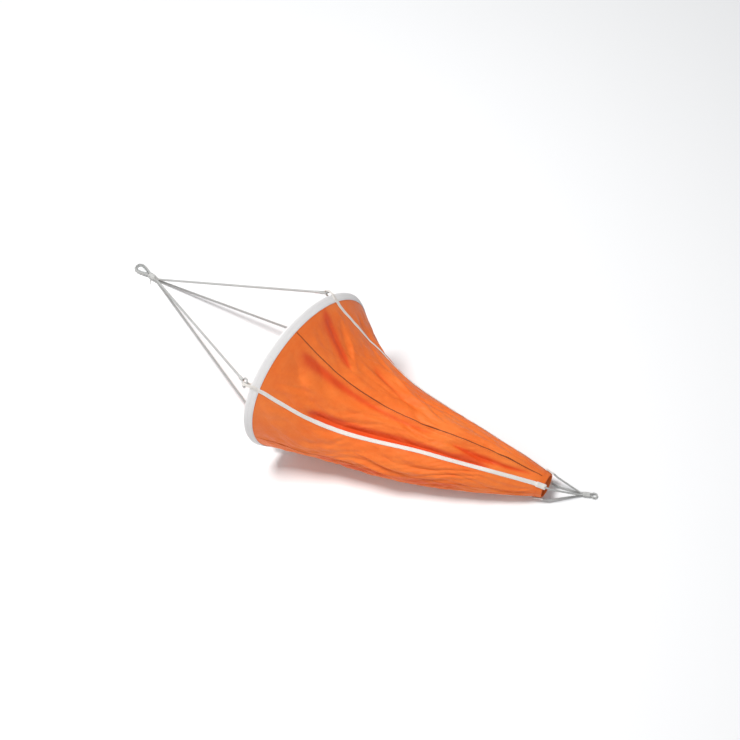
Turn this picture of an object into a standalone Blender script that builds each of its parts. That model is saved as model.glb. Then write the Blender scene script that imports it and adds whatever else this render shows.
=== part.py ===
"""A cone-shaped sea anchor laid out on a floor: a hooped cloth cone, sewn tapes, a rope bridle
with a thimble eye, and a tail of four cords. Metres, +Z up, the floor at z = 0."""

import math

import bpy
import numpy as np
from mathutils import Vector
from mathutils.geometry import tessellate_polygon

# overall sizes
MOUTH_RADIUS = 0.300  # centre of the mouth to the inside of the cloth
TAIL_RADIUS = 0.042  # centre of the small opening to the inside of the cloth
CONE_LENGTH = 0.870  # along X, mouth centre to the centre of the small opening
CONE_SIDESTEP = 0.143  # along Y, over the same run
BRIDLE_REACH = 0.787  # along -X, mouth centre to the back of the bridle's seizing
BRIDLE_SIDESTEP = 0.197  # along +Y, over the same run
TAIL_REACH = 0.118  # along X, small opening to the front of the tail whipping
TAIL_SIDESTEP = 0.052  # along +Y, over the same run

# how the cone lies
MOUTH_YAW = -10.5  # degrees, heading of the cone's axis at the mouth
TAIL_YAW = 0.0  # degrees, heading of the cone's axis at the small opening
MOUTH_PITCH = 5.0  # degrees, the hoop's top leans towards the bridle
TAIL_PITCH = 4.0  # degrees, the small opening leans back
SLACK = 0.034  # most that the sides are drawn in
SLACK_PEAK = 0.22  # share of the length where that is
BOW = 0.032  # most that the middle is pushed towards -Y
BOW_PEAK = 0.50
SAG = 0.22  # share of the height that the slack top drops by
SAG_PEAK = 0.45
FLOOR_PRESS = 0.007  # how far the cloth would reach under the floor if it didn't flatten

# cloth, tape and binding
CLOTH = 0.0012
TAPE_WIDTH = 0.014
TAPE = 0.0015
BINDING = 0.0012
BINDING_WIDTH = 0.018
HEM_WIDTH = 0.018
HOOP_RADIUS = 0.004
GAP = 0.0003  # between neighbouring pieces
LAYER = 0.0011  # between the cloth and the binding folded over it
ROPE_GAP = 0.0013  # between a rope's end and what binds it

# angles of the tapes round the cone, degrees from its top towards -Y
TAPE_AT_MOUTH = (-34.0, 52.0, 143.0, 233.0)
TAPE_AT_TAIL = (-62.0, 34.0, 124.0, 226.0)
TAPE_TURN_FROM = (0.0, 0.15, 0.0, 0.0)  # share of the length where the tape starts to turn
TAPE_TURN_TO = (0.25, 0.60, 1.0, 1.0)
TOP_SEAM_AT_MOUTH = 6.0
TOP_SEAM_AT_TAIL = -8.0

# rope work
LEG_RADIUS = 0.0037
LEG_EYE_RADIUS = 0.0030
LEG_EYE_WIDE = 0.0150  # half width of the small eye in a leg's end
LEG_EYE_LONG = 0.036
WHIPPING_LONG = 0.026
WHIPPING_WIDE = 0.0070  # half width across the eye's two ropes
WHIPPING_THICK = 0.0047
SEIZING_RADIUS = 0.0115
SEIZING_LONG = 0.026
EYE_ROPE_RADIUS = 0.0042
EYE_DROP = 6.0  # degrees, from the seizing down to the floor
THIMBLE_RADIUS = 0.0110  # round end, to the middle of the thimble's wall
THIMBLE_FROM = 0.0140  # seizing to the thimble's open end
THIMBLE_TO = 0.0513  # seizing to the centre of its round end
THIMBLE_HIGH = 0.0100
THIMBLE_WALL = 0.0020
CORD_RADIUS = 0.0030
TAIL_WHIPPING_RADIUS = 0.0092
TAIL_WHIPPING_LONG = 0.026
WHIPPING_WIDE = 0.0070  # half width across the eye's two ropes
WHIPPING_THICK = 0.0047
TAIL_LOOP_WIDE = 0.0085
TAIL_LOOP_LONG = 0.027

# sewn webbing
BECKET_WIDTH = 0.010
BECKET = 0.0015
BECKET_REACH = 0.028  # how far a becket stands out in front of the rim
BECKET_UNDER = -0.0126  # its inner end, off the cloth's inside
BECKET_ROPE = 0.019  # rim to the middle of the rope in it
PAD_WIDTH = 0.017
PAD_PAST = 0.009  # how far a pad runs on past the hem
PAD = 0.0036

TAPE_START = 0.0015  # rim to a tape's end
RIM_STEPS = (0.0052, 0.0095, 0.0138, BINDING_WIDTH)  # shared by what lies on the rim
RAMP_STEPS = (BINDING_WIDTH + 0.0057, BINDING_WIDTH + 0.0100)  # where a tape comes down off the binding
TAIL_STEPS = (-HEM_WIDTH - 0.0046, -HEM_WIDTH, -0.0052)  # shared by what lies on the hem
MIDDLE_STEPS = (0.047, 0.065, 0.095, 0.14, 0.20, 0.28, 0.37, 0.47, 0.58, 0.69, 0.79, 0.87, 0.93)
TAPE_LIFT = CLOTH + 2.5 * GAP  # underside of a tape on the cloth
RIM_HEIGHT = CLOTH + LAYER + BINDING  # outside of the binding
RIM_LIFT = RIM_HEIGHT + GAP  # underside of a tape on the binding


def clear_scene():
    """Removes whatever the new file starts with."""
    for old in list(bpy.data.objects):
        bpy.data.objects.remove(old, do_unlink=True)


def material(name, color, roughness, metallic=0.0):
    """One plain Principled material."""
    made = bpy.data.materials.new(name)
    made.use_nodes = True
    shader = made.node_tree.nodes["Principled BSDF"]
    shader.inputs["Base Color"].default_value = (*color, 1.0)
    shader.inputs["Roughness"].default_value = roughness
    shader.inputs["Metallic"].default_value = metallic
    made.diffuse_color = (*color, 1.0)
    return made


def unit(v):
    """Vectors scaled to length 1."""
    v = np.asarray(v, float)
    return v / np.linalg.norm(v, axis=-1, keepdims=True)


def ease(t):
    """0 before 0, 1 after 1, with a smooth step between."""
    t = np.clip(t, 0.0, 1.0)
    return t * t * (3.0 - 2.0 * t)


def hump(s, peak):
    """0 at both ends and 1 at the peak."""
    s = np.clip(s, 0.0, 1.0)
    a = 1.3
    b = a * (1.0 - peak) / peak
    return (s / peak) ** a * ((1.0 - s) / (1.0 - peak)) ** b


def heading(s):
    """The cone's axis, the level direction across it towards -Y, and its own up, at shares s."""
    s = np.asarray(s, float)
    yaw = np.radians(MOUTH_YAW + (TAIL_YAW - MOUTH_YAW) * s)
    pitch = np.radians(MOUTH_PITCH + (TAIL_PITCH - MOUTH_PITCH) * s)
    axis = np.stack([np.cos(yaw) * np.cos(pitch), np.sin(yaw) * np.cos(pitch), np.sin(pitch)], -1)
    across = unit(np.cross(axis, [0.0, 0.0, 1.0]))
    return axis, across, np.cross(across, axis)


def radius(s):
    """Half width of the cone at shares s of its length."""
    plain = MOUTH_RADIUS + (TAIL_RADIUS - MOUTH_RADIUS) * s
    return plain - SLACK * hump(s, SLACK_PEAK)


def centre(s):
    """Middle of the cone at shares s, low enough for its underside to press on the floor."""
    s = np.asarray(s, float)
    pitch = np.radians(MOUTH_PITCH + (TAIL_PITCH - MOUTH_PITCH) * s)
    height = radius(s) * (1.0 - SAG * hump(s, SAG_PEAK)) * np.cos(pitch)
    press = FLOOR_PRESS * np.sqrt(np.sin(np.pi * np.clip((s - 0.045) / 0.91, 0.0, 1.0)))
    return np.stack(
        [CONE_LENGTH * s, CONE_SIDESTEP * s - BOW * hump(s, BOW_PEAK), height + RIM_HEIGHT - press], -1
    )


def cone(s, degrees, lift):
    """Points of the cone at shares s and angles, lifted off the cloth's inside. The arrays broadcast."""
    s, degrees, lift = np.broadcast_arrays(s, degrees, lift)
    axis, across, up = heading(s)
    sag = 1.0 - SAG * hump(s, SAG_PEAK)
    sin, cos = np.sin(np.radians(degrees)), np.cos(np.radians(degrees))
    out = across * sin[..., None] + up * cos[..., None]
    wall = across * sin[..., None] + up * (sag * cos)[..., None]
    p = centre(s) + wall * radius(s)[..., None]
    p[..., 2] = np.maximum(p[..., 2], CLOTH)
    return p + out * lift[..., None]


def tape_angle(k, s):
    """Angle of tape k at shares s."""
    turn = ease((s - TAPE_TURN_FROM[k]) / (TAPE_TURN_TO[k] - TAPE_TURN_FROM[k]))
    return TAPE_AT_MOUTH[k] + (TAPE_AT_TAIL[k] - TAPE_AT_MOUTH[k]) * turn


def seam_angle(k, s):
    """Angle of the seam that follows tape k, midway to the next tape except on top."""
    if k == 0:
        return TOP_SEAM_AT_MOUTH + (TOP_SEAM_AT_TAIL - TOP_SEAM_AT_MOUTH) * s
    if k == 3:
        return (tape_angle(3, s) + tape_angle(0, s) + 360.0) / 2.0
    return (tape_angle(k, s) + tape_angle(k + 1, s)) / 2.0


def mesh_object(name, points, faces, mat):
    """A mesh object with one material."""
    mesh = bpy.data.meshes.new(name)
    mesh.from_pydata([tuple(p) for p in points], [], faces)
    mesh.validate()
    mesh.materials.append(mat)
    made = bpy.data.objects.new(name, mesh)
    bpy.context.scene.collection.objects.link(made)
    return made


def sheet_solid(name, inner, outer, mat):
    """A closed sheet between two grids of points, rows by columns."""
    rows, columns = inner.shape[:2]
    points = np.concatenate([inner.reshape(-1, 3), outer.reshape(-1, 3)])
    at = np.arange(rows * columns).reshape(rows, columns)
    top = at + rows * columns
    faces = []
    for i in range(rows - 1):
        for j in range(columns - 1):
            faces.append((at[i, j], at[i, j + 1], at[i + 1, j + 1], at[i + 1, j]))
            faces.append((top[i, j], top[i + 1, j], top[i + 1, j + 1], top[i, j + 1]))
    for i in range(rows - 1):
        faces.append((at[i, 0], at[i + 1, 0], top[i + 1, 0], top[i, 0]))
        faces.append((at[i, -1], top[i, -1], top[i + 1, -1], at[i + 1, -1]))
    for j in range(columns - 1):
        faces.append((at[0, j], top[0, j], top[0, j + 1], at[0, j + 1]))
        faces.append((at[-1, j], at[-1, j + 1], top[-1, j + 1], top[-1, j]))
    made = mesh_object(name, points, [tuple(int(v) for v in f) for f in faces], mat)
    flip_if_inward(made)
    return made


def cap(ring, first, flip):
    """Triangles that fill one ring of points, numbered from first."""
    spoke = ring - ring.mean(axis=0)
    normal = np.cross(spoke, np.roll(spoke, -1, axis=0)).sum(axis=0)
    faces = []
    for a, b, c in tessellate_polygon([[Vector(p) for p in ring]]):
        ahead = np.dot(np.cross(ring[b] - ring[a], ring[c] - ring[a]), normal) > 0
        faces.append((a, b, c) if ahead != flip else (a, c, b))
    return [tuple(first + v for v in f) for f in faces]


def swept(name, rings, mat, closed):
    """A solid whose skin runs over rings of points, joined end to end where closed, else capped."""
    rings = np.asarray(rings, float)
    rows, columns = rings.shape[:2]
    faces = []
    for i in range(rows if closed else rows - 1):
        n = (i + 1) % rows
        for j in range(columns):
            m = (j + 1) % columns
            faces.append((i * columns + j, i * columns + m, n * columns + m, n * columns + j))
    if not closed:
        faces += cap(rings[0], 0, True)
        faces += cap(rings[-1], (rows - 1) * columns, False)
    made = mesh_object(name, rings.reshape(-1, 3), faces, mat)
    flip_if_inward(made)
    return made


def flip_if_inward(made):
    """Turns a closed mesh's faces outwards, by the sign of its volume."""
    mesh = made.data
    mesh.calc_loop_triangles()
    volume = 0.0
    for t in mesh.loop_triangles:
        a, b, c = (mesh.vertices[v].co for v in t.vertices)
        volume += a.dot(b.cross(c))
    if volume < 0.0:
        mesh.flip_normals()


def rope(name, path, thick, mat):
    """A round cord along points, as a capped tube of a straight-segment curve."""
    curve = bpy.data.curves.new(name, "CURVE")
    curve.dimensions = "3D"
    curve.bevel_depth = thick
    curve.bevel_resolution = 2
    curve.use_fill_caps = True
    spline = curve.splines.new("POLY")
    spline.points.add(len(path) - 1)
    for point, p in zip(spline.points, path):
        point.co = (*[float(v) for v in p], 1.0)
    curve.materials.append(mat)
    made = bpy.data.objects.new(name, curve)
    bpy.context.scene.collection.objects.link(made)
    return made


def smooth_path(route, count):
    """A smooth curve through route points, as count points a near-equal distance apart."""
    route = np.asarray(route, float)
    first, last = 2 * route[0] - route[1], 2 * route[-1] - route[-2]
    knots = np.concatenate([[first], route, [last]])
    fine = []
    for i in range(1, len(knots) - 2):
        t = np.linspace(0.0, 1.0, 40, endpoint=False)[:, None]
        a, b, c, d = knots[i - 1], knots[i], knots[i + 1], knots[i + 2]
        bend = (2 * a - 5 * b + 4 * c - d) * t**2
        twist = (3 * b - a - 3 * c + d) * t**3
        fine.append(0.5 * (2 * b + (c - a) * t + bend + twist))
    fine = np.concatenate(fine + [route[-1:]])
    along = np.concatenate([[0.0], np.cumsum(np.linalg.norm(np.diff(fine, axis=0), axis=1))])
    want = np.linspace(0.0, along[-1], count)
    return np.stack([np.interp(want, along, fine[:, i]) for i in range(3)], -1)


def barrel(name, middle, axis, side, half_long, wide, thick, mat):
    """A bound wrapping: an oval cylinder with softened ends."""
    axis = unit(axis)
    side = unit(side - axis * np.dot(side, axis))
    up = np.cross(axis, side)
    turn = np.linspace(0.0, 2 * np.pi, 16, endpoint=False)
    rings = []
    for along, size in ((-1.0, 0.88), (-0.86, 1.0), (0.86, 1.0), (1.0, 0.88)):
        ring = middle + axis * half_long * along
        ring = ring + np.outer(np.cos(turn), side * wide * size)
        rings.append(ring + np.outer(np.sin(turn), up * thick * size))
    return swept(name, rings, mat, False)


def build_gores(mats):
    """Four cloth panels, each from one seam to the next, with a tape down its middle."""
    rim = np.array(RIM_STEPS + RAMP_STEPS) / CONE_LENGTH
    tail = 1.0 + np.array(TAIL_STEPS) / CONE_LENGTH
    s = np.concatenate([rim, MIDDLE_STEPS, tail])[:, None]
    across = np.linspace(0.0, 1.0, 13)[None, :]
    for k in range(4):
        start = seam_angle(k - 1 if k else 3, s) - (0.0 if k else 360.0)
        stop = seam_angle(k, s)
        trim = np.degrees(GAP / 2.0 / radius(s))
        degrees = (start + trim) + (stop - start - 2 * trim) * across
        sheet_solid(f"gore_{k + 1}", cone(s, degrees, 0.0), cone(s, degrees, CLOTH), mats[k])


def end_ring(name, profile, share, count, mat):
    """A ring round one end of the cone. The profile is closed pairs: along the cone, and off its inside."""
    profile = np.asarray(profile)
    degrees = np.arange(count) * 360.0 / count
    rings = cone(share + profile[None, :, 0] / CONE_LENGTH, degrees[:, None], profile[None, :, 1])
    swept(name, rings, mat, True)


def build_hoop(mat):
    """The round stiffener inside the mouth binding."""
    turn = np.arange(6) * math.pi / 3
    low = -HOOP_RADIUS - GAP
    profile = np.stack([HOOP_RADIUS * np.cos(turn), low + HOOP_RADIUS * np.sin(turn)], -1)
    end_ring("mouth_hoop", profile, 0.0, 48, mat)


def build_binding(mat):
    """The strip folded over the rim: along the outside, round the hoop and back along the inside."""
    wrap = np.radians(np.arange(60.0, 331.0, 45.0))
    low = -HOOP_RADIUS - GAP
    near, far = HOOP_RADIUS + 3.2 * GAP, HOOP_RADIUS + 3.2 * GAP + BINDING
    inner = [(near * math.cos(t), low + near * math.sin(t)) for t in wrap]
    outer = [(far * math.cos(t), low + far * math.sin(t)) for t in wrap]
    top, under = CLOTH + LAYER, -LAYER
    inner[0], outer[0] = (near, top), (near, top + BINDING)
    inner[1], outer[1] = (0.0, top), (-BINDING / 2, top + BINDING)
    outer += [(x, under - BINDING) for x in RIM_STEPS[2:]]
    inner += [(x, under) for x in RIM_STEPS[2:]]
    outer = [(x, top + BINDING) for x in RIM_STEPS[:0:-1]] + outer
    inner = [(x, top) for x in RIM_STEPS[:0:-1]] + inner
    end_ring("mouth_binding", outer + inner[::-1], 0.0, 48, mat)


def build_hem(mat):
    """The folded edge of the small opening."""
    top, under = CLOTH + GAP, -GAP
    end, wall = GAP, GAP + BINDING
    mid, back = TAIL_STEPS[2], -HEM_WIDTH
    outer = [(back, top + BINDING), (mid, top + BINDING), (wall, top + BINDING), (wall, under - BINDING)]
    outer += [(mid, under - BINDING), (back, under - BINDING), (back, under), (mid, under)]
    inner = [(end, under), (end, top), (mid, top), (back, top)]
    end_ring("tail_hem", outer + inner, 1.0, 32, mat)


def strip(name, s, middle, width, low, high, mat):
    """A webbing strip along the cone. middle is its angle and low, high its faces, at shares s."""
    side = np.array([-1.0, 0.0, 1.0])[None, :]
    half = np.degrees(width / 2.0 / radius(s))
    degrees = middle[:, None] + half[:, None] * side
    sheet_solid(name, cone(s[:, None], degrees, low[:, None]), cone(s[:, None], degrees, high[:, None]), mat)


def tape_lift(s):
    """Underside of a tape: on the cloth, and higher over the binding and the hem."""
    rim = 1.0 - ease((s * CONE_LENGTH - BINDING_WIDTH - 0.0013) / 0.0087)
    hem = ease(((s - 1.0) * CONE_LENGTH + HEM_WIDTH + 0.0133) / 0.0087)
    return TAPE_LIFT + (RIM_LIFT - TAPE_LIFT) * np.maximum(rim, hem)


def build_tapes(mats):
    """Four tapes sewn along the cone, and the doubled pad that ends each one."""
    rim = np.array((TAPE_START,) + RIM_STEPS + RAMP_STEPS) / CONE_LENGTH
    tail = 1.0 + np.array((-HEM_WIDTH - 0.0133,) + TAIL_STEPS + (0.0,)) / CONE_LENGTH
    s = np.concatenate([rim, MIDDLE_STEPS, tail])
    for k in range(4):
        low = tape_lift(s)
        strip(f"tape_{k + 1}", s, tape_angle(k, s), TAPE_WIDTH, low, low + TAPE, mats[k])
    t = np.array(TAIL_STEPS + (0.0, PAD_PAST)) / CONE_LENGTH + 1.0
    low = np.full(len(t), RIM_LIFT + TAPE + GAP)
    for k in range(4):
        angle = np.full(len(t), TAPE_AT_TAIL[k])
        strip(f"tail_pad_{k + 1}", t, angle, PAD_WIDTH, low, low + PAD, mats[k])


def becket_outline(inset):
    """The folded webbing's line: along the outside, round the front and back inside, moved in by inset."""
    high = RIM_LIFT + TAPE + GAP + BECKET - inset
    low = BECKET_UNDER + inset
    mid, tall, front = (high + low) / 2, (high - low) / 2, BECKET_REACH - 0.012 - inset
    line = [(x, high) for x in RIM_STEPS[2::-1] + (TAPE_START, 0.0, -0.008)]
    for t in np.radians(np.arange(60.0, -61.0, -30.0)):
        line.append((-0.012 - front * math.cos(t), mid + tall * math.sin(t)))
    return np.array(line + [(-0.008, low), (0.004, low)])


def build_beckets(mats):
    """Four webbing loops round the rim that the bridle's legs are spliced into."""
    half = np.degrees(BECKET_WIDTH / 2 / MOUTH_RADIUS)
    outer, inner = becket_outline(0.0), becket_outline(BECKET)
    for k in range(4):
        degrees = TAPE_AT_MOUTH[k] + half * np.array([-1.0, 0.0, 1.0])[None, :]
        skins = [cone(line[:, :1] / CONE_LENGTH, degrees, line[:, 1:]) for line in (inner, outer)]
        sheet_solid(f"becket_{k + 1}", skins[0], skins[1], mats[k])


def becket_centre(k):
    """Middle of the rope inside becket k."""
    high, low = RIM_LIFT + TAPE + GAP + BECKET, BECKET_UNDER
    return cone(-BECKET_ROPE / CONE_LENGTH, TAPE_AT_MOUTH[k], (high + low) / 2)


def throat():
    """Back of the bridle's seizing, its forward direction and its level side direction."""
    forward = unit([-BRIDLE_REACH, BRIDLE_SIDESTEP - 0.06, 0.0])
    back = np.array([-BRIDLE_REACH, BRIDLE_SIDESTEP, SEIZING_RADIUS])
    return back, forward, np.cross(forward, [0.0, 0.0, 1.0])


def leg_frame(k):
    """Middle of the rope in becket k, the ways to the throat, across the rope's eye and along the rim."""
    start = becket_centre(k)
    back, forward, side = throat()
    along = unit(back - 0.03 * forward - start)
    axis, across, up = heading(0.0)
    a = math.radians(TAPE_AT_MOUTH[k])
    tangent = across * math.cos(a) - up * math.sin(a)
    return start, along, unit(tangent - along * np.dot(tangent, along)), tangent


def bunch(k, spread, side):
    """Place of rope k of four in a bunch: 1 and 2 on top, 2 and 3 on the -Y side."""
    near = -1.0 if k in (1, 2) else 1.0
    high = 1.0 if k in (0, 1) else -1.0
    level = side if side[1] > 0 else -side
    return level * near * spread + np.array([0.0, 0.0, high * spread])


def build_legs(mats):
    """Four bridle legs, each with a small spliced eye through its becket and a whipping."""
    back, forward, side = throat()
    for k in range(4):
        start, along, over, tangent = leg_frame(k)
        w, n = LEG_EYE_WIDE, LEG_EYE_LONG
        half = [(n - ROPE_GAP, LEG_EYE_RADIUS + GAP), (0.88 * n, LEG_EYE_RADIUS + 2 * GAP)]
        half += [(0.72 * n, 0.52 * w), (0.50 * n, 0.86 * w)]
        half += [(0.28 * n, w), (0.08 * n, 0.90 * w), (0.0, 0.58 * w)]
        route = half + [(0.0, 0.0)] + [(u, -v) for u, v in half[::-1]]
        loop = [start + along * u + (tangent + (over - tangent) * ease(u / (0.6 * n))) * v for u, v in route]
        rope(f"leg_eye_{k + 1}", smooth_path(loop, 28), LEG_EYE_RADIUS, mats[k])
        middle = start + along * (n + WHIPPING_LONG / 2)
        long = WHIPPING_LONG / 2
        barrel(f"whipping_{k + 1}", middle, along, over, long, WHIPPING_WIDE, WHIPPING_THICK, mats[k])
        into = back + bunch(k, LEG_RADIUS + 0.0005, side)
        away = back + bunch(k, LEG_RADIUS + 0.0016, side) - 0.020 * forward
        first = start + along * (n + WHIPPING_LONG + ROPE_GAP)
        into = into - forward * ROPE_GAP
        near = [first + (away - first) * share for share in (0.0, 0.5, 0.9)]
        route = near + [away, into - 0.008 * forward, into]
        rope(f"bridle_leg_{k + 1}", smooth_path(route, 26), LEG_RADIUS, mats[k])


def eye_frame():
    """Front of the seizing, and the eye's own directions: along, across and through."""
    back, forward, side = throat()
    drop = math.radians(EYE_DROP)
    along = forward * math.cos(drop) - np.array([0.0, 0.0, math.sin(drop)])
    return back + forward * SEIZING_LONG, along, side, np.cross(side, along)


def teardrop(reach, extra):
    """The upper half of an eye's outline, (along, across) pairs from its open end to its tip."""
    r = THIMBLE_RADIUS + extra
    open_end = 0.2 * THIMBLE_RADIUS
    slant = np.radians(16.0)
    pairs = [(reach, open_end + extra)]
    for t in (0.28, 0.6, 0.86):
        u = THIMBLE_FROM + (THIMBLE_TO - THIMBLE_FROM) * t - extra * math.sin(slant) * (1 - t)
        wide = open_end + (THIMBLE_RADIUS - open_end) * math.sin(t * math.pi / 2)
        pairs.append((u, wide + extra * (0.95 + 0.05 * t)))
    for a in np.radians([90.0, 70.0, 50.0, 30.0, 12.0, 0.0]):
        pairs.append((THIMBLE_TO + r * math.cos(a), r * math.sin(a)))
    return pairs


def both_sides(half):
    """The whole outline from its upper half."""
    return half + [(u, -v) for u, v in half[-2::-1]]


def build_eye(rope_mat, metal):
    """The towing eye: a rope bight round a thimble."""
    front, along, side, through = eye_frame()
    gap = THIMBLE_WALL / 2 + GAP + EYE_ROPE_RADIUS
    half = teardrop(THIMBLE_FROM - 0.0018, gap)
    spread = EYE_ROPE_RADIUS + GAP
    half = [(0.0009, spread), (0.006, spread + 0.0007)] + half
    route = [front + along * u + side * v for u, v in both_sides(half)]
    rope("towing_eye", smooth_path(route, 40), EYE_ROPE_RADIUS, rope_mat)
    build_thimble(front, along, side, through, metal)


def build_thimble(front, along, side, through, metal):
    """A gutter bent round the inside of the eye."""
    route = np.array([(u, v, 0.0) for u, v in both_sides(teardrop(THIMBLE_FROM, 0.0))])
    path = smooth_path(route, 33)[:, :2]
    step = np.gradient(path, axis=0)
    step /= np.linalg.norm(step, axis=1, keepdims=True)
    out = np.stack([-step[:, 1], step[:, 0]], -1)
    wall, high = THIMBLE_WALL / 2, THIMBLE_HIGH / 2
    lip = wall + 0.0020
    section = [(-wall, -high), (lip, -high), (lip, -0.8 * high), (1.35 * wall, -0.44 * high), (wall, 0.0)]
    section += [(1.35 * wall, 0.44 * high), (lip, 0.8 * high), (lip, high), (-wall, high)]
    rings = []
    for p, n in zip(path, out):
        flat = [p + n * q for q, _ in section]
        rings.append([front + along * u + side * v + through * z for (u, v), (_, z) in zip(flat, section)])
    swept("towing_thimble", rings, metal, False)


def tail_frame():
    """Front of the tail whipping, and its backward and level side directions."""
    end = centre(1.0)
    back = unit([TAIL_REACH, TAIL_SIDESTEP, 0.0])
    front = np.array([end[0] + TAIL_REACH, end[1] + TAIL_SIDESTEP, TAIL_WHIPPING_RADIUS])
    return front, back, np.cross(back, [0.0, 0.0, 1.0])


def run_out(k, run):
    """The step from the end of pad k to its cord, long enough for the cord's slanted end to clear it."""
    axis, across, up = heading(1.0)
    a = math.radians(TAPE_AT_TAIL[k])
    out = across * math.sin(a) + up * math.cos(a)
    lean = CORD_RADIUS * abs(np.dot(run, np.cross(axis, out))) + PAD / 2 * abs(np.dot(run, out))
    return run * (lean + 1.5 * GAP) / np.dot(run, axis)


def build_tail(mats, bound):
    """Four cords from the pads to one whipping, and the bight behind it."""
    front, back, side = tail_frame()
    lift = RIM_LIFT + TAPE + GAP + PAD / 2
    for k in range(4):
        rear = 1.0 + PAD_PAST / CONE_LENGTH
        end = cone(rear, TAPE_AT_TAIL[k], lift)
        second = cone(rear + 0.014 / CONE_LENGTH, TAPE_AT_TAIL[k], lift)
        first = end + run_out(k, unit(second - end))
        into = front + bunch(k, CORD_RADIUS + 0.0005, side) - back * ROPE_GAP
        away = front + bunch(k, CORD_RADIUS + 0.0030, side) - 0.016 * back
        span = [second + (away - second) * share for share in (0.0, 0.18, 0.52, 1.0)]
        route = [first, (first + second) / 2] + span + [into - 0.007 * back, into]
        rope(f"tail_cord_{k + 1}", smooth_path(route, 20), CORD_RADIUS, mats[k])
    long, wide = TAIL_WHIPPING_LONG, TAIL_WHIPPING_RADIUS
    barrel("tail_whipping", front + back * long / 2, back, side, long / 2, wide, wide, bound)
    rear = front + back * long
    w, n = TAIL_LOOP_WIDE, TAIL_LOOP_LONG - CORD_RADIUS
    half = [(ROPE_GAP, 0.5 * w), (0.16 * n, 0.54 * w), (0.4 * n, 0.86 * w)]
    half += [(0.65 * n, w), (0.89 * n, 0.7 * w)]
    route = half + [(n, 0.0)] + [(u, -v) for u, v in half[::-1]]
    drop = (TAIL_WHIPPING_RADIUS - CORD_RADIUS) / n
    loop = [rear + back * u + side * v - np.array([0.0, 0.0, drop * u]) for u, v in route]
    rope("tail_loop", smooth_path(loop, 20), CORD_RADIUS, mats[0])


def set_origin(name, point):
    """Moves an object's origin to a point, leaving its shape where it is."""
    made = bpy.data.objects[name]
    shift = np.asarray(point, float)
    if made.type == "CURVE":
        for p in made.data.splines[0].points:
            p.co = (p.co[0] - shift[0], p.co[1] - shift[1], p.co[2] - shift[2], 1.0)
    else:
        for v in made.data.vertices:
            v.co = (v.co[0] - shift[0], v.co[1] - shift[1], v.co[2] - shift[2])
    made.location = shift


def place_origins():
    """Puts each moving piece's origin on its joint's axis."""
    lift_axis = (becket_centre(2) + becket_centre(3)) / 2
    for name in ("throat_seizing", "bridle_leg_1", "bridle_leg_2", "bridle_leg_3", "bridle_leg_4"):
        set_origin(name, lift_axis)
    for name in ("towing_eye", "towing_thimble"):
        set_origin(name, eye_frame()[0])
    tail_axis = tail_pivot()
    for name in ("tail_whipping", "tail_loop", "tail_cord_1", "tail_cord_2", "tail_cord_3", "tail_cord_4"):
        set_origin(name, tail_axis)


def tail_pivot():
    """Midway between the two lower pads' rear ends, on the tail's hinge axis."""
    lift = RIM_LIFT + TAPE + GAP + PAD / 2
    rear = 1.0 + PAD_PAST / CONE_LENGTH
    return (cone(rear, TAPE_AT_TAIL[2], lift) + cone(rear, TAPE_AT_TAIL[3], lift)) / 2


def stand_on_origin():
    """Moves everything so that the whole stands at z = 0 with its middle over the origin."""
    bpy.context.view_layer.update()
    seen = bpy.context.evaluated_depsgraph_get()
    corners = []
    for made in bpy.context.scene.objects:
        mesh = made.evaluated_get(seen).to_mesh()
        corners += [tuple(made.matrix_world @ v.co) for v in mesh.vertices]
        made.evaluated_get(seen).to_mesh_clear()
    corners = np.array(corners)
    low, high = corners.min(axis=0), corners.max(axis=0)
    shift = np.array([(low[0] + high[0]) / 2, (low[1] + high[1]) / 2, low[2]])
    for made in bpy.context.scene.objects:
        made.location = np.array(made.location) - shift


def main():
    """Builds every piece."""
    clear_scene()
    orange = (0.86, 0.23, 0.05)
    white = (0.86, 0.84, 0.80)
    gores = [material(f"cloth_{k + 1}", orange, 0.45) for k in range(4)]
    tapes = [material(f"tape_{k + 1}", white, 0.7) for k in range(4)]
    beckets = [material(f"becket_{k + 1}", white, 0.7) for k in range(4)]
    ropes = [material(f"rope_{k + 1}", (0.72, 0.72, 0.69), 0.8) for k in range(4)]
    cords = [material(f"cord_{k + 1}", (0.74, 0.73, 0.70), 0.8) for k in range(4)]
    binding = material("binding", white, 0.6)
    bound = material("twine", (0.66, 0.65, 0.62), 0.75)
    build_gores(gores)
    build_hoop(material("hoop", (0.5, 0.5, 0.5), 0.5))
    build_binding(binding)
    build_hem(material("hem", orange, 0.5))
    build_tapes(tapes)
    build_beckets(beckets)
    build_legs(ropes)
    back, forward, side = throat()
    half, wide = SEIZING_LONG / 2, SEIZING_RADIUS
    barrel("throat_seizing", back + forward * half, forward, side, half, wide, wide, bound)
    galvanised = material("galvanised", (0.6, 0.61, 0.62), 0.45, 1.0)
    build_eye(material("eye_rope", (0.70, 0.70, 0.67), 0.8), galvanised)
    build_tail(cords, bound)
    place_origins()
    stand_on_origin()


if __name__ == "__main__":
    main()
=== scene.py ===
"""Cone-shaped sea anchor: sewn cloth, webbing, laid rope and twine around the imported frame."""

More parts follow.
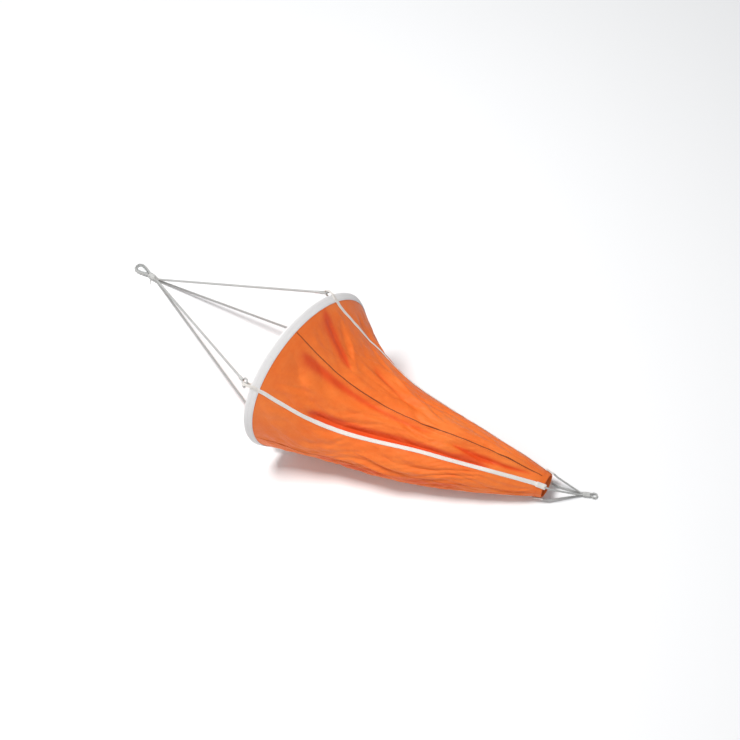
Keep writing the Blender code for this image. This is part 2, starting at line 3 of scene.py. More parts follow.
import bpy
import numpy as np
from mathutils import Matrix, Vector


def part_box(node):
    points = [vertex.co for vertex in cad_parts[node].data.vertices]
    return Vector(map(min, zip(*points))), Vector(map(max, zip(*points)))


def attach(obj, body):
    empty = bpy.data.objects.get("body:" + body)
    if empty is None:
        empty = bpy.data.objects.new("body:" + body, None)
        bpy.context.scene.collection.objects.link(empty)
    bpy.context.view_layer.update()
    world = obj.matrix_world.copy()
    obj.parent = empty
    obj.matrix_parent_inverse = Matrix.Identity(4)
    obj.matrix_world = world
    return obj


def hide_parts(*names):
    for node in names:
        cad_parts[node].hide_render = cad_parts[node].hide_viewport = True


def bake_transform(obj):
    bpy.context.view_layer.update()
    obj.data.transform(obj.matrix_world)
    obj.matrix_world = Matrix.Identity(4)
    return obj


bl_info = {
    "name": "Cone sea anchor",
    "version": (1, 0, 0),
    "blender": (4, 5, 0),
    "location": "3D View > Sidebar > Sea anchor",
    "description": "Cloth, webbing and rope finishes for a cone-shaped sea anchor",
    "category": "Object",
}

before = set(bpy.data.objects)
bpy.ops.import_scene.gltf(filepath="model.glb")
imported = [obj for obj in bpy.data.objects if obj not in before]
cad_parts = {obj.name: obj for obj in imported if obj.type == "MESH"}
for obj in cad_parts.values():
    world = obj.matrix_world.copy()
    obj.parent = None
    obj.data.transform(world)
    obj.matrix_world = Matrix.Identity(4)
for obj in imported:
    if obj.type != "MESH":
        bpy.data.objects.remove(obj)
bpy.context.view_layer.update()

# the cone, as the frame has it, in metres and degrees
MOUTH_RADIUS, TAIL_RADIUS = 0.300, 0.042
CONE_LENGTH, CONE_SIDESTEP = 0.870, 0.143
BRIDLE_REACH, BRIDLE_SIDESTEP = 0.787, 0.197
TAIL_REACH, TAIL_SIDESTEP = 0.118, 0.052
MOUTH_YAW, TAIL_YAW = -10.5, 0.0
MOUTH_PITCH, TAIL_PITCH = 5.0, 4.0
SLACK, SLACK_PEAK = 0.034, 0.22
BOW, BOW_PEAK = 0.032, 0.50
SAG, SAG_PEAK = 0.22, 0.45
FLOOR_PRESS = 0.007
TAPE_AT_MOUTH = np.array([-34.0, 52.0, 143.0, 233.0])
TAPE_AT_TAIL = np.array([-62.0, 34.0, 124.0, 226.0])
TAPE_TURN_FROM = np.array([0.0, 0.15, 0.0, 0.0])
TAPE_TURN_TO = np.array([0.25, 0.60, 1.0, 1.0])
TOP_SEAM_AT_MOUTH, TOP_SEAM_AT_TAIL = 6.0, -8.0

# thicknesses and sewn widths
CLOTH = 0.0012
GAP = 0.0003
LAYER = 0.0011
BINDING, BINDING_WIDTH = 0.0012, 0.018
HEM_WIDTH = 0.018
HOOP_RADIUS = 0.004
TAPE, TAPE_WIDTH = 0.0015, 0.014
TAPE_LIFT = CLOTH + 2.5 * GAP
RIM_HEIGHT = CLOTH + LAYER + BINDING
RIM_LIFT = RIM_HEIGHT + GAP
BECKET, BECKET_WIDTH, BECKET_REACH, BECKET_UNDER, BECKET_ROPE = 0.0015, 0.010, 0.028, -0.0126, 0.019
PAD, PAD_WIDTH, PAD_PAST = 0.0036, 0.017, 0.009
SEAM_OVERLAP = 0.007
SEAM_LIFT = 0.0013

# rope work
LEG_RADIUS = 0.0037
LEG_EYE_RADIUS, LEG_EYE_WIDE, LEG_EYE_LONG = 0.0030, 0.0150, 0.036
WHIPPING_LONG, WHIPPING_WIDE, WHIPPING_THICK = 0.026, 0.0070, 0.0047
SEIZING_RADIUS, SEIZING_LONG = 0.0115, 0.026
EYE_ROPE_RADIUS, EYE_DROP = 0.0042, 6.0
THIMBLE_RADIUS, THIMBLE_FROM, THIMBLE_TO = 0.0110, 0.0140, 0.0513
THIMBLE_HIGH, THIMBLE_WALL = 0.0100, 0.0020
CORD_RADIUS = 0.0030
TAIL_WHIPPING_RADIUS, TAIL_WHIPPING_LONG = 0.0092, 0.026
TAIL_LOOP_WIDE, TAIL_LOOP_LONG = 0.0085, 0.027
STITCH_CLEAR = 0.0001  # from the surface to the line that the stitches follow
SEAM_STITCHES = (0.0014, 0.0056)  # the rows of stitches, from the seam's edge
BINDING_STITCHES = (0.0152, 0.0065)  # the rows of stitches, from the rim
BINDING_STITCH, TAPE_STITCH, LOOP_STITCH, PAD_STITCH = 0.0048, 0.0045, 0.0040, 0.0034  # one to the next
RUN_IN = 0.005  # how far a rope goes on inside what binds it
CROWN = 1.25  # how far the strands' crowns stand past the plain round rope of the same thickness

# finishes
FULL_TURN = 6.2832
# Painted shadow: the dark edges of the seams stand for the shade under each felled seam's turned edge.
PAINTED_SEAM_SHADOW = (0.15, 0.92)  # how dark the edges of the seams are, the top seam's last
SEAM_THREADS = ((0.60, 0.10, 0.015), (0.14, 0.026, 0.009))  # colours, in the same order

# folds of the slack cloth: places (share of the length, degrees), widths above and below, height
FOLDS = (
    # the crest along the top seam and the valley under it
    (((0.05, 5.0), (0.30, 1.0), (0.55, -3.0), (0.90, -7.0)), 0.030, 0.012, 0.0060),
    (((0.06, 12.0), (0.14, 10.0), (0.26, 8.0), (0.40, 7.0), (0.60, 5.0)), 0.014, 0.028, -0.0085),
    # the long crest in the middle of the near panel
    (((0.10, 30.0), (0.25, 22.0), (0.45, 16.0), (0.60, 15.0), (0.70, 15.0)), 0.030, 0.022, 0.0080),
    # the deep groove above the near tape
    (
        ((0.16, 47.0), (0.24, 45.0), (0.34, 39.0), (0.45, 32.0), (0.58, 28.0), (0.80, 29.0)),
        0.016, 0.012, -0.0150,
    ),
    # the groove that runs into the small opening
    (((0.62, 8.0), (0.74, 12.0), (0.85, 12.0), (0.96, 4.0)), 0.010, 0.009, -0.0105),
    # the hollow facet between the far tape's foot and the top seam
    (((0.02, -21.0), (0.06, -18.0), (0.13, -13.0), (0.21, -6.0)), 0.012, 0.018, -0.0095),
    (((0.02, -27.0), (0.07, -30.0), (0.14, -24.0), (0.21, -11.0)), 0.026, 0.010, 0.0085),
    # the crest that crosses the far panel and runs on beside the seam
    (
        ((0.16, -48.0), (0.27, -42.0), (0.42, -27.0), (0.56, -15.0), (0.80, -12.0), (0.95, -16.0)),
        0.020, 0.016, 0.0090,
    ),
    (((0.22, -30.0), (0.36, -21.0), (0.50, -13.0), (0.62, -9.0)), 0.014, 0.014, -0.0045),
    # the bulge under the near tape's start
    (((0.01, 59.0), (0.06, 68.0), (0.12, 77.0), (0.20, 88.0)), 0.035, 0.040, 0.0070),
    # the far side, out of the hoop's pull
    (((0.10, -80.0), (0.30, -92.0), (0.55, -85.0), (0.85, -92.0)), 0.030, 0.024, -0.0090),
    (((0.06, -112.0), (0.25, -120.0), (0.50, -112.0)), 0.030, 0.030, 0.0060),
    (((0.20, 105.0), (0.45, 98.0), (0.75, 92.0)), 0.026, 0.030, -0.0050),
)
CREASES = (
    (((0.02, 38.0), (0.08, 29.0), (0.16, 25.0)), 0.0050, 0.0016),
    (((0.04, 42.0), (0.11, 33.0), (0.20, 28.0)), 0.0050, -0.0018),
    (((0.03, 33.0), (0.10, 25.0), (0.17, 22.0)), 0.0050, -0.0014),
    (((0.03, 15.0), (0.07, 20.0), (0.11, 19.0)), 0.0060, 0.0020),
    (((0.02, -8.0), (0.07, -12.0), (0.13, -6.0)), 0.0050, 0.0018),
    (((0.10, -1.0), (0.14, 4.0), (0.20, 18.0)), 0.0060, 0.0018),
    (((0.07, -32.0), (0.11, -26.0), (0.13, -22.0)), 0.0050, -0.0016),
    (((0.16, -26.0), (0.22, -30.0), (0.30, -34.0)), 0.0060, 0.0018),
    (((0.28, -40.0), (0.34, -30.0), (0.44, -26.0)), 0.0060, -0.0020),
    (((0.24, 60.0), (0.34, 66.0), (0.46, 63.0)), 0.0060, 0.0016),
    (((0.30, 52.0), (0.42, 50.0), (0.55, 46.0)), 0.0050, -0.0014),
    (((0.05, 60.0), (0.12, 62.0), (0.20, 58.0)), 0.0060, 0.0018),
    (((0.55, -20.0), (0.70, -22.0), (0.86, -28.0)), 0.0060, 0.0018),
    (((0.60, 46.0), (0.75, 52.0), (0.90, 50.0)), 0.0060, -0.0014),
)


# ---- shapes -------------------------------------------------------------------------------------


def unit(v):
    """Vectors divided by their length."""
    v = np.asarray(v, float)
    return v / np.linalg.norm(v, axis=-1, keepdims=True)


def ease(t):
    """Three t squared minus two t cubed, held at 0 and 1 outside."""
    t = np.clip(t, 0.0, 1.0)
    return t * t * (3.0 - 2.0 * t)


def hump(s, peak):
    """A power of s times a power of 1 - s, scaled to be 1 at the peak."""
    s = np.clip(s, 0.0, 1.0)
    b = 1.3 * (1.0 - peak) / peak
    return (s / peak) ** 1.3 * ((1.0 - s) / (1.0 - peak)) ** b


def heading(s):
    """Yaw and pitch change evenly along s; they give the axis, the level way across, and the up."""
    s = np.asarray(s, float)
    yaw = np.radians(MOUTH_YAW + (TAIL_YAW - MOUTH_YAW) * s)
    pitch = np.radians(MOUTH_PITCH + (TAIL_PITCH - MOUTH_PITCH) * s)
    axis = np.stack([np.cos(yaw) * np.cos(pitch), np.sin(yaw) * np.cos(pitch), np.sin(pitch)], -1)
    across = unit(np.cross(axis, [0.0, 0.0, 1.0]))
    return axis, across, np.cross(across, axis)


def radius(s):
    """Half width of the cone: a straight taper less the slack."""
    return MOUTH_RADIUS + (TAIL_RADIUS - MOUTH_RADIUS) * s - SLACK * hump(s, SLACK_PEAK)


def centre(s):
    """Middle of the cone, low enough for its underside to press on the floor."""
    s = np.asarray(s, float)
    pitch = np.radians(MOUTH_PITCH + (TAIL_PITCH - MOUTH_PITCH) * s)
    height = radius(s) * (1.0 - SAG * hump(s, SAG_PEAK)) * np.cos(pitch)
    press = FLOOR_PRESS * np.sqrt(np.sin(np.pi * np.clip((s - 0.045) / 0.91, 0.0, 1.0)))
    side = CONE_SIDESTEP * s - BOW * hump(s, BOW_PEAK)
    return np.stack([CONE_LENGTH * s, side, height + RIM_HEIGHT - press], -1)


def cone(s, degrees, lift, folded=False):
    """Centre plus a ring of that radius at the angle, with the folds along the outward direction,
    held above the floor, then lifted outwards. The arrays broadcast."""
    s, degrees, lift = np.broadcast_arrays(s, degrees, lift)
    _, across, up = heading(s)
    sag = 1.0 - SAG * hump(s, SAG_PEAK)
    sin, cos = np.sin(np.radians(degrees))[..., None], np.cos(np.radians(degrees))[..., None]
    out = across * sin + up * cos
    p = centre(s) + (across * sin + up * sag[..., None] * cos) * radius(s)[..., None]
    if folded:
        clear = ease((p[..., 2] - 0.004) / 0.050)
        p = p + out * (folds(s, degrees) * clear)[..., None]
    p[..., 2] = np.maximum(p[..., 2], CLOTH + (SEAM_LIFT + 0.0005) * folded)
    return p + out * lift[..., None] + SHIFT


def polyline(places, s):
    """Angle of a fold at s, straight between its places, and 0 to 1 for how far s is inside its ends."""
    at, degrees = np.array(places).T
    fade = ease((s - at[0]) / 0.06 + 0.35) * ease((at[-1] - s) / 0.10 + 0.25)
    return np.interp(s, at, degrees), fade


def tent(x, above, below):
    """A crease's section: e to the minus distance over its width, rounded at the top."""
    wide = np.where(x < 0.0, above, below)
    return np.exp(0.25 - np.sqrt((x / wide) ** 2 + 0.0625))


def crinkle(along, across, seed, count, shortest, longest, tilt):
    """A sum of rounded zigzag waves in nearly one direction, each with its own length and turn."""
    pick = np.random.default_rng(seed)
    total = np.zeros_like(along)
    warp = 0.012 * np.sin(along * 21.0 + 1.3) + 0.009 * np.sin(across * 33.0 + along * 11.0)
    for wave in np.geomspace(shortest, longest, count):
        turn, phase = pick.normal(0.0, tilt), pick.uniform(0.0, np.pi)
        x = across * np.cos(turn) + along * np.sin(turn) + warp
        drift = along / wave * pick.uniform(0.5, 1.1) + pick.uniform(0.0, 6.0) + across * 9.0
        patch = 0.5 + 0.5 * np.sin(drift)
        total += wave * patch * (np.sqrt(np.sin(np.pi * x / wave + phase) ** 2 + 0.015) - 0.6)
    return total


def hollows(s, degrees):
    """The sum of the named folds, each a tent across its line, lower where the cone is narrow."""
    r = radius(s)
    height = np.zeros_like(s * degrees)
    for places, above, below, high in FOLDS:
        middle, fade = polyline(places, s)
        height += high * fade * tent(np.radians(degrees - middle) * r, above, below)
    return height * (0.45 + 0.55 * np.minimum(r / 0.2, 1.0))


def folds(s, degrees):
    """Named folds plus crinkle, smaller beside the sewn tapes and nothing at the rim and the hem."""
    r = radius(s)
    height = hollows(s, degrees) * 1.5
    fine = np.zeros_like(height)
    for places, wide, high in CREASES:
        middle, fade = polyline(places, s)
        fine += high * fade * tent(np.radians(degrees - middle) * r, wide, wide)
    along, across = s * CONE_LENGTH, np.radians(degrees) * 0.19
    wrinkles = bpy.context.scene.sea_anchor_cloth.wrinkles
    fine += 0.130 * wrinkles * crinkle(along, across, 5, 6, 0.030, 0.085, 0.35)
    fine += 0.055 * wrinkles * crinkle(along, across, 11, 5, 0.012, 0.030, 0.9)
    near = np.full(height.shape, 1e3)
    for k in range(4):
        turned = (degrees - tape_angle(k, s) + 180.0) % 360.0 - 180.0
        near = np.minimum(near, np.abs(np.radians(turned)) * r)
    fine *= (0.25 + 0.75 * ease((near - 0.006) / 0.022)) * (0.35 + 0.65 * r / MOUTH_RADIUS)
    from_binding, from_hem = s * CONE_LENGTH - BINDING_WIDTH - 0.002, (1.0 - s) * CONE_LENGTH - 0.026
    ends = ease(from_binding / 0.05) * ease(from_hem / 0.04)
    return (height + fine) * ends


def tape_angle(k, s):
    """Angle of tape k, eased from its place at the mouth to its place at the tail."""
    turn = ease((s - TAPE_TURN_FROM[k]) / (TAPE_TURN_TO[k] - TAPE_TURN_FROM[k]))
    return TAPE_AT_MOUTH[k] + (TAPE_AT_TAIL[k] - TAPE_AT_MOUTH[k]) * turn


def seam_angle(k, s):
    """Angle of the seam that follows tape k, midway to the next tape except on top."""
    if k == 0:
        return TOP_SEAM_AT_MOUTH + (TOP_SEAM_AT_TAIL - TOP_SEAM_AT_MOUTH) * s
    if k == 3:
        return (tape_angle(3, s) + tape_angle(0, s) + 360.0) / 2.0
    return (tape_angle(k, s) + tape_angle(k + 1, s)) / 2.0


def smooth_path(route, step):
    """A Catmull-Rom curve through the route's points, resampled to one point each step."""
    route = np.asarray(route, float)
    knots = np.concatenate([[2 * route[0] - route[1]], route, [2 * route[-1] - route[-2]]])
    t = np.linspace(0.0, 1.0, 40, endpoint=False)[None, :, None]
    a, b, c, d = (knots[i : len(knots) - 3 + i, None] for i in range(4))
    fine = 0.5 * (2 * b + (c - a) * t + (2 * a - 5 * b + 4 * c - d) * t**2 + (3 * b - a - 3 * c + d) * t**3)
    fine = np.concatenate([fine.reshape(-1, 3), route[-1:]])
    return respaced(fine, step)


def respaced(line, step):
    """The same line with evenly spaced points."""
    gone = np.concatenate([[0.0], np.cumsum(np.linalg.norm(np.diff(line, axis=0), axis=1))])
    want = np.linspace(0.0, gone[-1], max(3, int(round(gone[-1] / step)) + 1))
    return np.stack([np.interp(want, gone, line[:, i]) for i in range(3)], -1)


def across_path(path, reference):
    """Distance gone, and two directions square to the path: one square to the reference too."""
    step = unit(np.gradient(path, axis=0))
    side = unit(np.cross(step, np.broadcast_to(reference, path.shape)))
    gone = np.concatenate([[0.0], np.cumsum(np.linalg.norm(np.diff(path, axis=0), axis=1))])
    return gone, side, np.cross(side, step)


def skin(name, rings, finish, closed=False, uv=None, sharp=60.0, flat_cap=False):
    """A mesh whose skin runs over rings of points (rows, columns, xyz). Rows join end to end where
    closed, else each end gets a cap: quads across a flat ring, or a fan to the middle of a round one."""
    rows, columns = rings.shape[:2]
    at = np.arange(rows * columns).reshape(rows, columns)
    here = at if closed else at[:-1]
    there = np.roll(at, -1, axis=0) if closed else at[1:]
    quads = np.stack([here, np.roll(here, -1, 1), np.roll(there, -1, 1), there], -1).reshape(-1, 4)
    points, fans = rings.reshape(-1, 3), np.zeros((0, 3), int)
    if not closed and flat_cap:
        half = columns // 2
        j = np.arange(half - 1)
        low = np.stack([at[0, j], at[0, columns - 1 - j], at[0, columns - 2 - j], at[0, j + 1]], -1)
        high = np.stack([at[-1, j], at[-1, j + 1], at[-1, columns - 2 - j], at[-1, columns - 1 - j]], -1)
        quads = np.concatenate([quads, low, high])
    elif not closed:
        points = np.concatenate([points, rings[:1].mean(1), rings[-1:].mean(1)])
        first = np.full(columns, rows * columns)
        front = np.stack([np.roll(at[0], -1), at[0], first], -1)
        fans = np.concatenate([front, np.stack([at[-1], np.roll(at[-1], -1), first + 1], -1)])
    return build(name, points, quads, fans, finish, uv, (rows, columns, closed), sharp)


def build(name, points, quads, fans, finish, uv, grid, sharp):
    """Makes the object, turns its faces outwards by the sign of its volume and gives it its UV map."""
    thirds = np.concatenate([quads[:, :3], quads[:, [2, 3, 0]], fans])
    a, b, c = (points[thirds[:, i]] for i in range(3))
    if (a * np.cross(b, c)).sum() < 0.0:
        quads, fans = quads[:, ::-1], fans[:, ::-1]
    faces = quads.tolist() + fans.tolist()
    mesh = bpy.data.meshes.new(name)
    mesh.from_pydata(points.tolist(), [], faces)
    if uv is not None:
        put_uv(mesh, uv, grid)
    mesh.materials.append(finish)
    mesh.shade_smooth()
    mesh.set_sharp_from_angle(angle=np.radians(sharp))
    made = bpy.data.objects.new(name, mesh)
    bpy.context.scene.collection.objects.link(made)
    return made


def put_uv(mesh, uv, grid):
    """UV in metres: along the rings, and round them. The corner that wraps round gets the whole turn."""
    rows, columns, closed = grid
    corner = np.zeros(len(mesh.loops), np.int64)
    mesh.loops.foreach_get("vertex_index", corner)
    start = np.zeros(len(mesh.polygons), np.int64)
    total = np.zeros(len(mesh.polygons), np.int64)
    mesh.polygons.foreach_get("loop_start", start)
    mesh.polygons.foreach_get("loop_total", total)
    owner = np.repeat(np.arange(len(start)), total)
    inside = np.minimum(corner, rows * columns - 1)
    row, column = inside // columns, inside % columns
    u, v, around, wound = uv
    flat_u, flat_v = u[row, column].copy(), v[row, column].copy()
    last = np.zeros(len(start), bool)
    np.logical_or.at(last, owner, column == columns - 1)
    first = np.zeros(len(start), bool)
    np.logical_or.at(first, owner, column == 0)
    wraps = (last & first)[owner] & (column == 0)
    flat_v[wraps] += around
    if closed:
        ends = np.zeros(len(start), bool)
        np.logical_or.at(ends, owner, row == rows - 1)
        begins = np.zeros(len(start), bool)
        np.logical_or.at(begins, owner, row == 0)
        turned = (ends & begins)[owner] & (row == 0)
        flat_u[turned] += wound
    layer = mesh.uv_layers.new(name="metres")
    layer.data.foreach_set("uv", np.stack([flat_u, flat_v], -1).astype(np.float32).ravel())


def strip_section(half, thick, count):
    """A flat webbing's section: pairs (across, lift) clockwise, its edges rounded by a quarter sine."""
    x = np.linspace(-1.0, 1.0, count)
    crown = thick * (1.0 - 0.45 * np.abs(x) ** 8)
    top = np.stack([x * half, crown], -1)
    under = np.stack([x[::-1] * half, 0.0 * x], -1)
    return np.concatenate([top, under])


def webbing(name, s, middle, low, width, thick, finish, ripple=0.0):
    """A strip along the cone: the section's across is an angle about the middle, its lift is off low."""
    section = strip_section(width / 2.0, thick, 9)
    gone = s * CONE_LENGTH
    wander = 1.0 + ripple * (np.sin(gone * 190.0) + 0.6 * np.sin(gone * 83.0 + 1.0))
    degrees = middle[:, None] + np.degrees(section[None, :, 0] / radius(s)[:, None]) * wander[:, None]
    rings = cone(s[:, None], degrees, low[:, None] + section[None, :, 1], folded=True)
    u = np.repeat(gone[:, None], len(section), 1)
    v = np.repeat(section[None, :, 0], len(s), 0)
    return skin(name, rings, finish, uv=(u, v, 0.0, 0.0), sharp=50.0, flat_cap=True)


def laid_rope(name, path, thick, finish, reference, lay=6.6, strands=3):
    """Round a path, the outline of three touching strands, turned one whole turn each lay length."""
    thick = thick * CROWN
    path = respaced(path, thick * 0.32)
    gone, side, over = across_path(path, reference)
    turn = np.linspace(0.0, 2.0 * np.pi, 24, endpoint=False)
    third = np.pi / strands
    local = (turn + third) % (2.0 * third) - third
    share = 1.0 / (1.0 + 1.0 / np.sin(third))
    offset, own = (1.0 - share) * thick, share * thick
    outline = offset * np.cos(local) + np.sqrt(np.maximum(own**2 - (offset * np.sin(local)) ** 2, 0.0))
    outline = np.maximum(outline, 0.62 * thick)
    angle = turn[None, :] + gone[:, None] * 2.0 * np.pi / (lay * thick)
    rings = path[:, None] + side[:, None] * (np.cos(angle) * outline)[..., None]
    rings = rings + over[:, None] * (np.sin(angle) * outline)[..., None]
    u = np.repeat(gone[:, None], len(turn), 1)
    v = np.repeat(turn[None, :] * thick, len(path), 0)
    return skin(name, rings, finish, uv=(u, v, 2.0 * np.pi * thick, 0.0), sharp=80.0)


def wound(name, middle, axis, side, half_long, wide, thick, twine, finish):
    """An oval barrel with rounded ends, its surface raised in a screw of half sines, a turn each twine."""
    axis = unit(axis)
    side = unit(side - axis * np.dot(side, axis))
    up = np.cross(axis, side)
    count = max(24, int(half_long * 2.0 / twine * 9))
    t = np.linspace(-1.0, 1.0, count)
    turn = np.linspace(0.0, 2.0 * np.pi, 40, endpoint=False)
    swell = 1.0 - 0.10 * np.abs(t) ** 5
    thread = np.abs(np.sin(np.pi * (t[:, None] * half_long / twine + turn[None, :] / (2.0 * np.pi))))
    raise_by = twine * 0.42 * (thread**0.7 - 1.0)
    wander = 1.0 + 0.012 * np.sin(3.0 * turn[None, :] + 9.0 * t[:, None])
    ring = np.cos(turn)[None, :, None] * side * wide + np.sin(turn)[None, :, None] * up * thick
    out = unit(np.cos(turn)[None, :, None] * side / wide + np.sin(turn)[None, :, None] * up / thick)
    rings = middle + t[:, None, None] * axis * half_long + ring * (swell[:, None] * wander)[..., None]
    rings = rings + out * raise_by[..., None]
    u = np.repeat((t * half_long)[:, None], len(turn), 1)
    v = np.repeat(turn[None, :] * wide, count, 0)
    return skin(name, rings, finish, uv=(u, v, 2.0 * np.pi * wide, 0.0), sharp=80.0)


def stitches(name, points, along, out, long, wide, finish):
    """Short thread bars: each is a five-sided spindle, its width a half sine of its length."""
    t = np.linspace(0.0, 1.0, 6)
    turn = np.linspace(0.0, 2.0 * np.pi, 6, endpoint=False)
    along, out = unit(along), unit(out)
    side = np.cross(along, out)
    fat = wide * np.sin(np.pi * (0.06 + 0.88 * t)) ** 0.5
    shape = points[:, None, None] + along[:, None, None] * ((t - 0.5) * long)[None, :, None, None]
    ring = side[:, None, None] * np.cos(turn)[None, None, :, None]
    ring = ring + 0.7 * out[:, None, None] * np.sin(turn)[None, None, :, None]
    shape = shape + ring * fat[None, :, None, None]
    shape = shape + out[:, None, None] * (wide * 0.2 * (1.0 - (2.0 * t - 1.0) ** 2))[None, :, None, None]
    count, rows, columns = shape.shape[:3]
    at = np.arange(rows * columns).reshape(rows, columns)
    quads = np.stack([at[:-1], np.roll(at[:-1], -1, 1), np.roll(at[1:], -1, 1), at[1:]], -1).reshape(-1, 4)
    ends = np.stack([at[0, [0, 5, 4, 3]], at[0, [3, 2, 1, 0]], at[-1, [0, 1, 2, 3]], at[-1, [3, 4, 5, 0]]])
    one = np.concatenate([quads, ends])
    faces = (one[None] + (np.arange(count) * rows * columns)[:, None, None]).reshape(-1, 4)
    no_fans = np.zeros((0, 3), int)
    return build(name, shape.reshape(-1, 3), faces, no_fans, finish, None, None, 80.0)


def sewn_line(name, s, degrees, lift, pitch, finish, folded=True, long=0.0030, wide=0.00042):
    """Stitches every pitch along a line of the cone, s and degrees given densely as arrays."""
    line = cone(s, degrees, lift, folded)
    gone = np.concatenate([[0.0], np.cumsum(np.linalg.norm(np.diff(line, axis=0), axis=1))])
    want = np.arange(pitch / 2.0, gone[-1], pitch)
    s_at, a_at = np.interp(want, gone, s), np.interp(want, gone, degrees)
    here = cone(s_at, a_at, lift, folded)
    ahead = np.stack([np.interp(want + 0.001, gone, line[:, i]) for i in range(3)], -1)
    before = np.stack([np.interp(want - 0.001, gone, line[:, i]) for i in range(3)], -1)
    _, across, up = heading(s_at)
    turn = np.radians(a_at)[:, None]
    return stitches(name, here, ahead - before, across * np.sin(turn) + up * np.cos(turn), long, wide, finish)


def frame_shift():
    """From the sizes' own origin to the frame's: where the seizing is, less where the sizes put it."""
    low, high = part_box("throat_seizing")
    forward = unit([-BRIDLE_REACH, BRIDLE_SIDESTEP - 0.06, 0.0])
    plain = np.array([-BRIDLE_REACH, BRIDLE_SIDESTEP, SEIZING_RADIUS]) + forward * SEIZING_LONG / 2.0
    return np.array((low + high) / 2.0) - plain


SHIFT = frame_shift()


# ---- places of the rope work --------------------------------------------------------------------


def throat():
    """Back of the bridle's seizing, its forward direction and its level side direction."""
    forward = unit([-BRIDLE_REACH, BRIDLE_SIDESTEP - 0.06, 0.0])
    back = np.array([-BRIDLE_REACH, BRIDLE_SIDESTEP, SEIZING_RADIUS]) + SHIFT
    return back, forward, np.cross(forward, [0.0, 0.0, 1.0])


def becket_centre(k):
    """Middle of the rope inside becket k."""
    high = RIM_LIFT + TAPE + GAP + BECKET
    return cone(-BECKET_ROPE / CONE_LENGTH, TAPE_AT_MOUTH[k], (high + BECKET_UNDER) / 2)


def leg_frame(k):
    """Middle of the rope in becket k, the ways to the throat, across the rope's eye and along the rim."""
    start = becket_centre(k)
    back, forward, _ = throat()
    along = unit(back - 0.03 * forward - start)
    _, across, up = heading(0.0)
    a = np.radians(TAPE_AT_MOUTH[k])
    tangent = across * np.cos(a) - up * np.sin(a)
    return start, along, unit(tangent - along * np.dot(tangent, along)), tangent


def bunch(k, spread, side):
    """Place of rope k of four in a bunch: 1 and 2 on top, 2 and 3 on the -Y side."""
    near = -1.0 if k in (1, 2) else 1.0
    high = 1.0 if k in (0, 1) else -1.0
    level = side if side[1] > 0 else -side
    return level * near * spread + np.array([0.0, 0.0, high * spread])


def leg_paths(k):
    """The small eye's loop and the leg's own line, from inside the whipping to inside the seizing."""
    back, forward, side = throat()
    start, along, over, tangent = leg_frame(k)
    w, n = LEG_EYE_WIDE, LEG_EYE_LONG
    half = [(n + RUN_IN, LEG_EYE_RADIUS * 0.95), (n - 0.0013, LEG_EYE_RADIUS + GAP)]
    half += [(0.88 * n, LEG_EYE_RADIUS + 2 * GAP), (0.72 * n, 0.52 * w), (0.50 * n, 0.86 * w)]
    half += [(0.28 * n, w), (0.08 * n, 0.90 * w), (0.0, 0.58 * w)]
    route = half + [(0.0, 0.0)] + [(u, -v) for u, v in half[::-1]]
    loop = [start + along * u + (tangent + (over - tangent) * ease(u / (0.6 * n))) * v for u, v in route]
    away = back + bunch(k, LEG_RADIUS + 0.0016, side) - 0.020 * forward
    into = back + bunch(k, LEG_RADIUS + 0.0005, side)
    first = start + along * (n + WHIPPING_LONG + 0.0013)
    inside = start + along * (n + WHIPPING_LONG - RUN_IN)
    near = [inside, first] + [first + (away - first) * share for share in (0.5, 0.9)]
    line = near + [away, into - 0.008 * forward, into + forward * RUN_IN]
    return smooth_path(loop, 0.001), smooth_path(line, 0.001)


def eye_frame():
    """Front of the seizing, and the eye's own directions: along, across and through."""
    back, forward, side = throat()
    drop = np.radians(EYE_DROP)
    along = forward * np.cos(drop) - np.array([0.0, 0.0, np.sin(drop)])
    return back + forward * SEIZING_LONG, along, side, np.cross(side, along)


def teardrop(reach, extra):
    """Half of an eye's outline, (along, across) from its open end: a flare, then a half circle."""
    r, open_end, slant = THIMBLE_RADIUS + extra, 0.2 * THIMBLE_RADIUS, np.radians(16.0)
    t = np.array([0.28, 0.6, 0.86])
    u = THIMBLE_FROM + (THIMBLE_TO - THIMBLE_FROM) * t - extra * np.sin(slant) * (1 - t)
    v = open_end + (THIMBLE_RADIUS - open_end) * np.sin(t * np.pi / 2) + extra * (0.95 + 0.05 * t)
    a = np.radians([90.0, 70.0, 50.0, 30.0, 12.0, 0.0])
    round_end = np.stack([THIMBLE_TO + r * np.cos(a), r * np.sin(a)], -1)
    return np.concatenate([[(reach, open_end + extra)], np.stack([u, v], -1), round_end])


def both_sides(half):
    """The whole outline from its half."""
    half = np.asarray(half, float)
    return np.concatenate([half, half[-2::-1] * [1.0, -1.0]])


def tail_frame():
    """Front of the tail whipping, and its backward and level side directions."""
    end = centre(1.0)
    back = unit([TAIL_REACH, TAIL_SIDESTEP, 0.0])
    front = np.array([end[0] + TAIL_REACH, end[1] + TAIL_SIDESTEP, TAIL_WHIPPING_RADIUS]) + SHIFT
    return front, back, np.cross(back, [0.0, 0.0, 1.0])


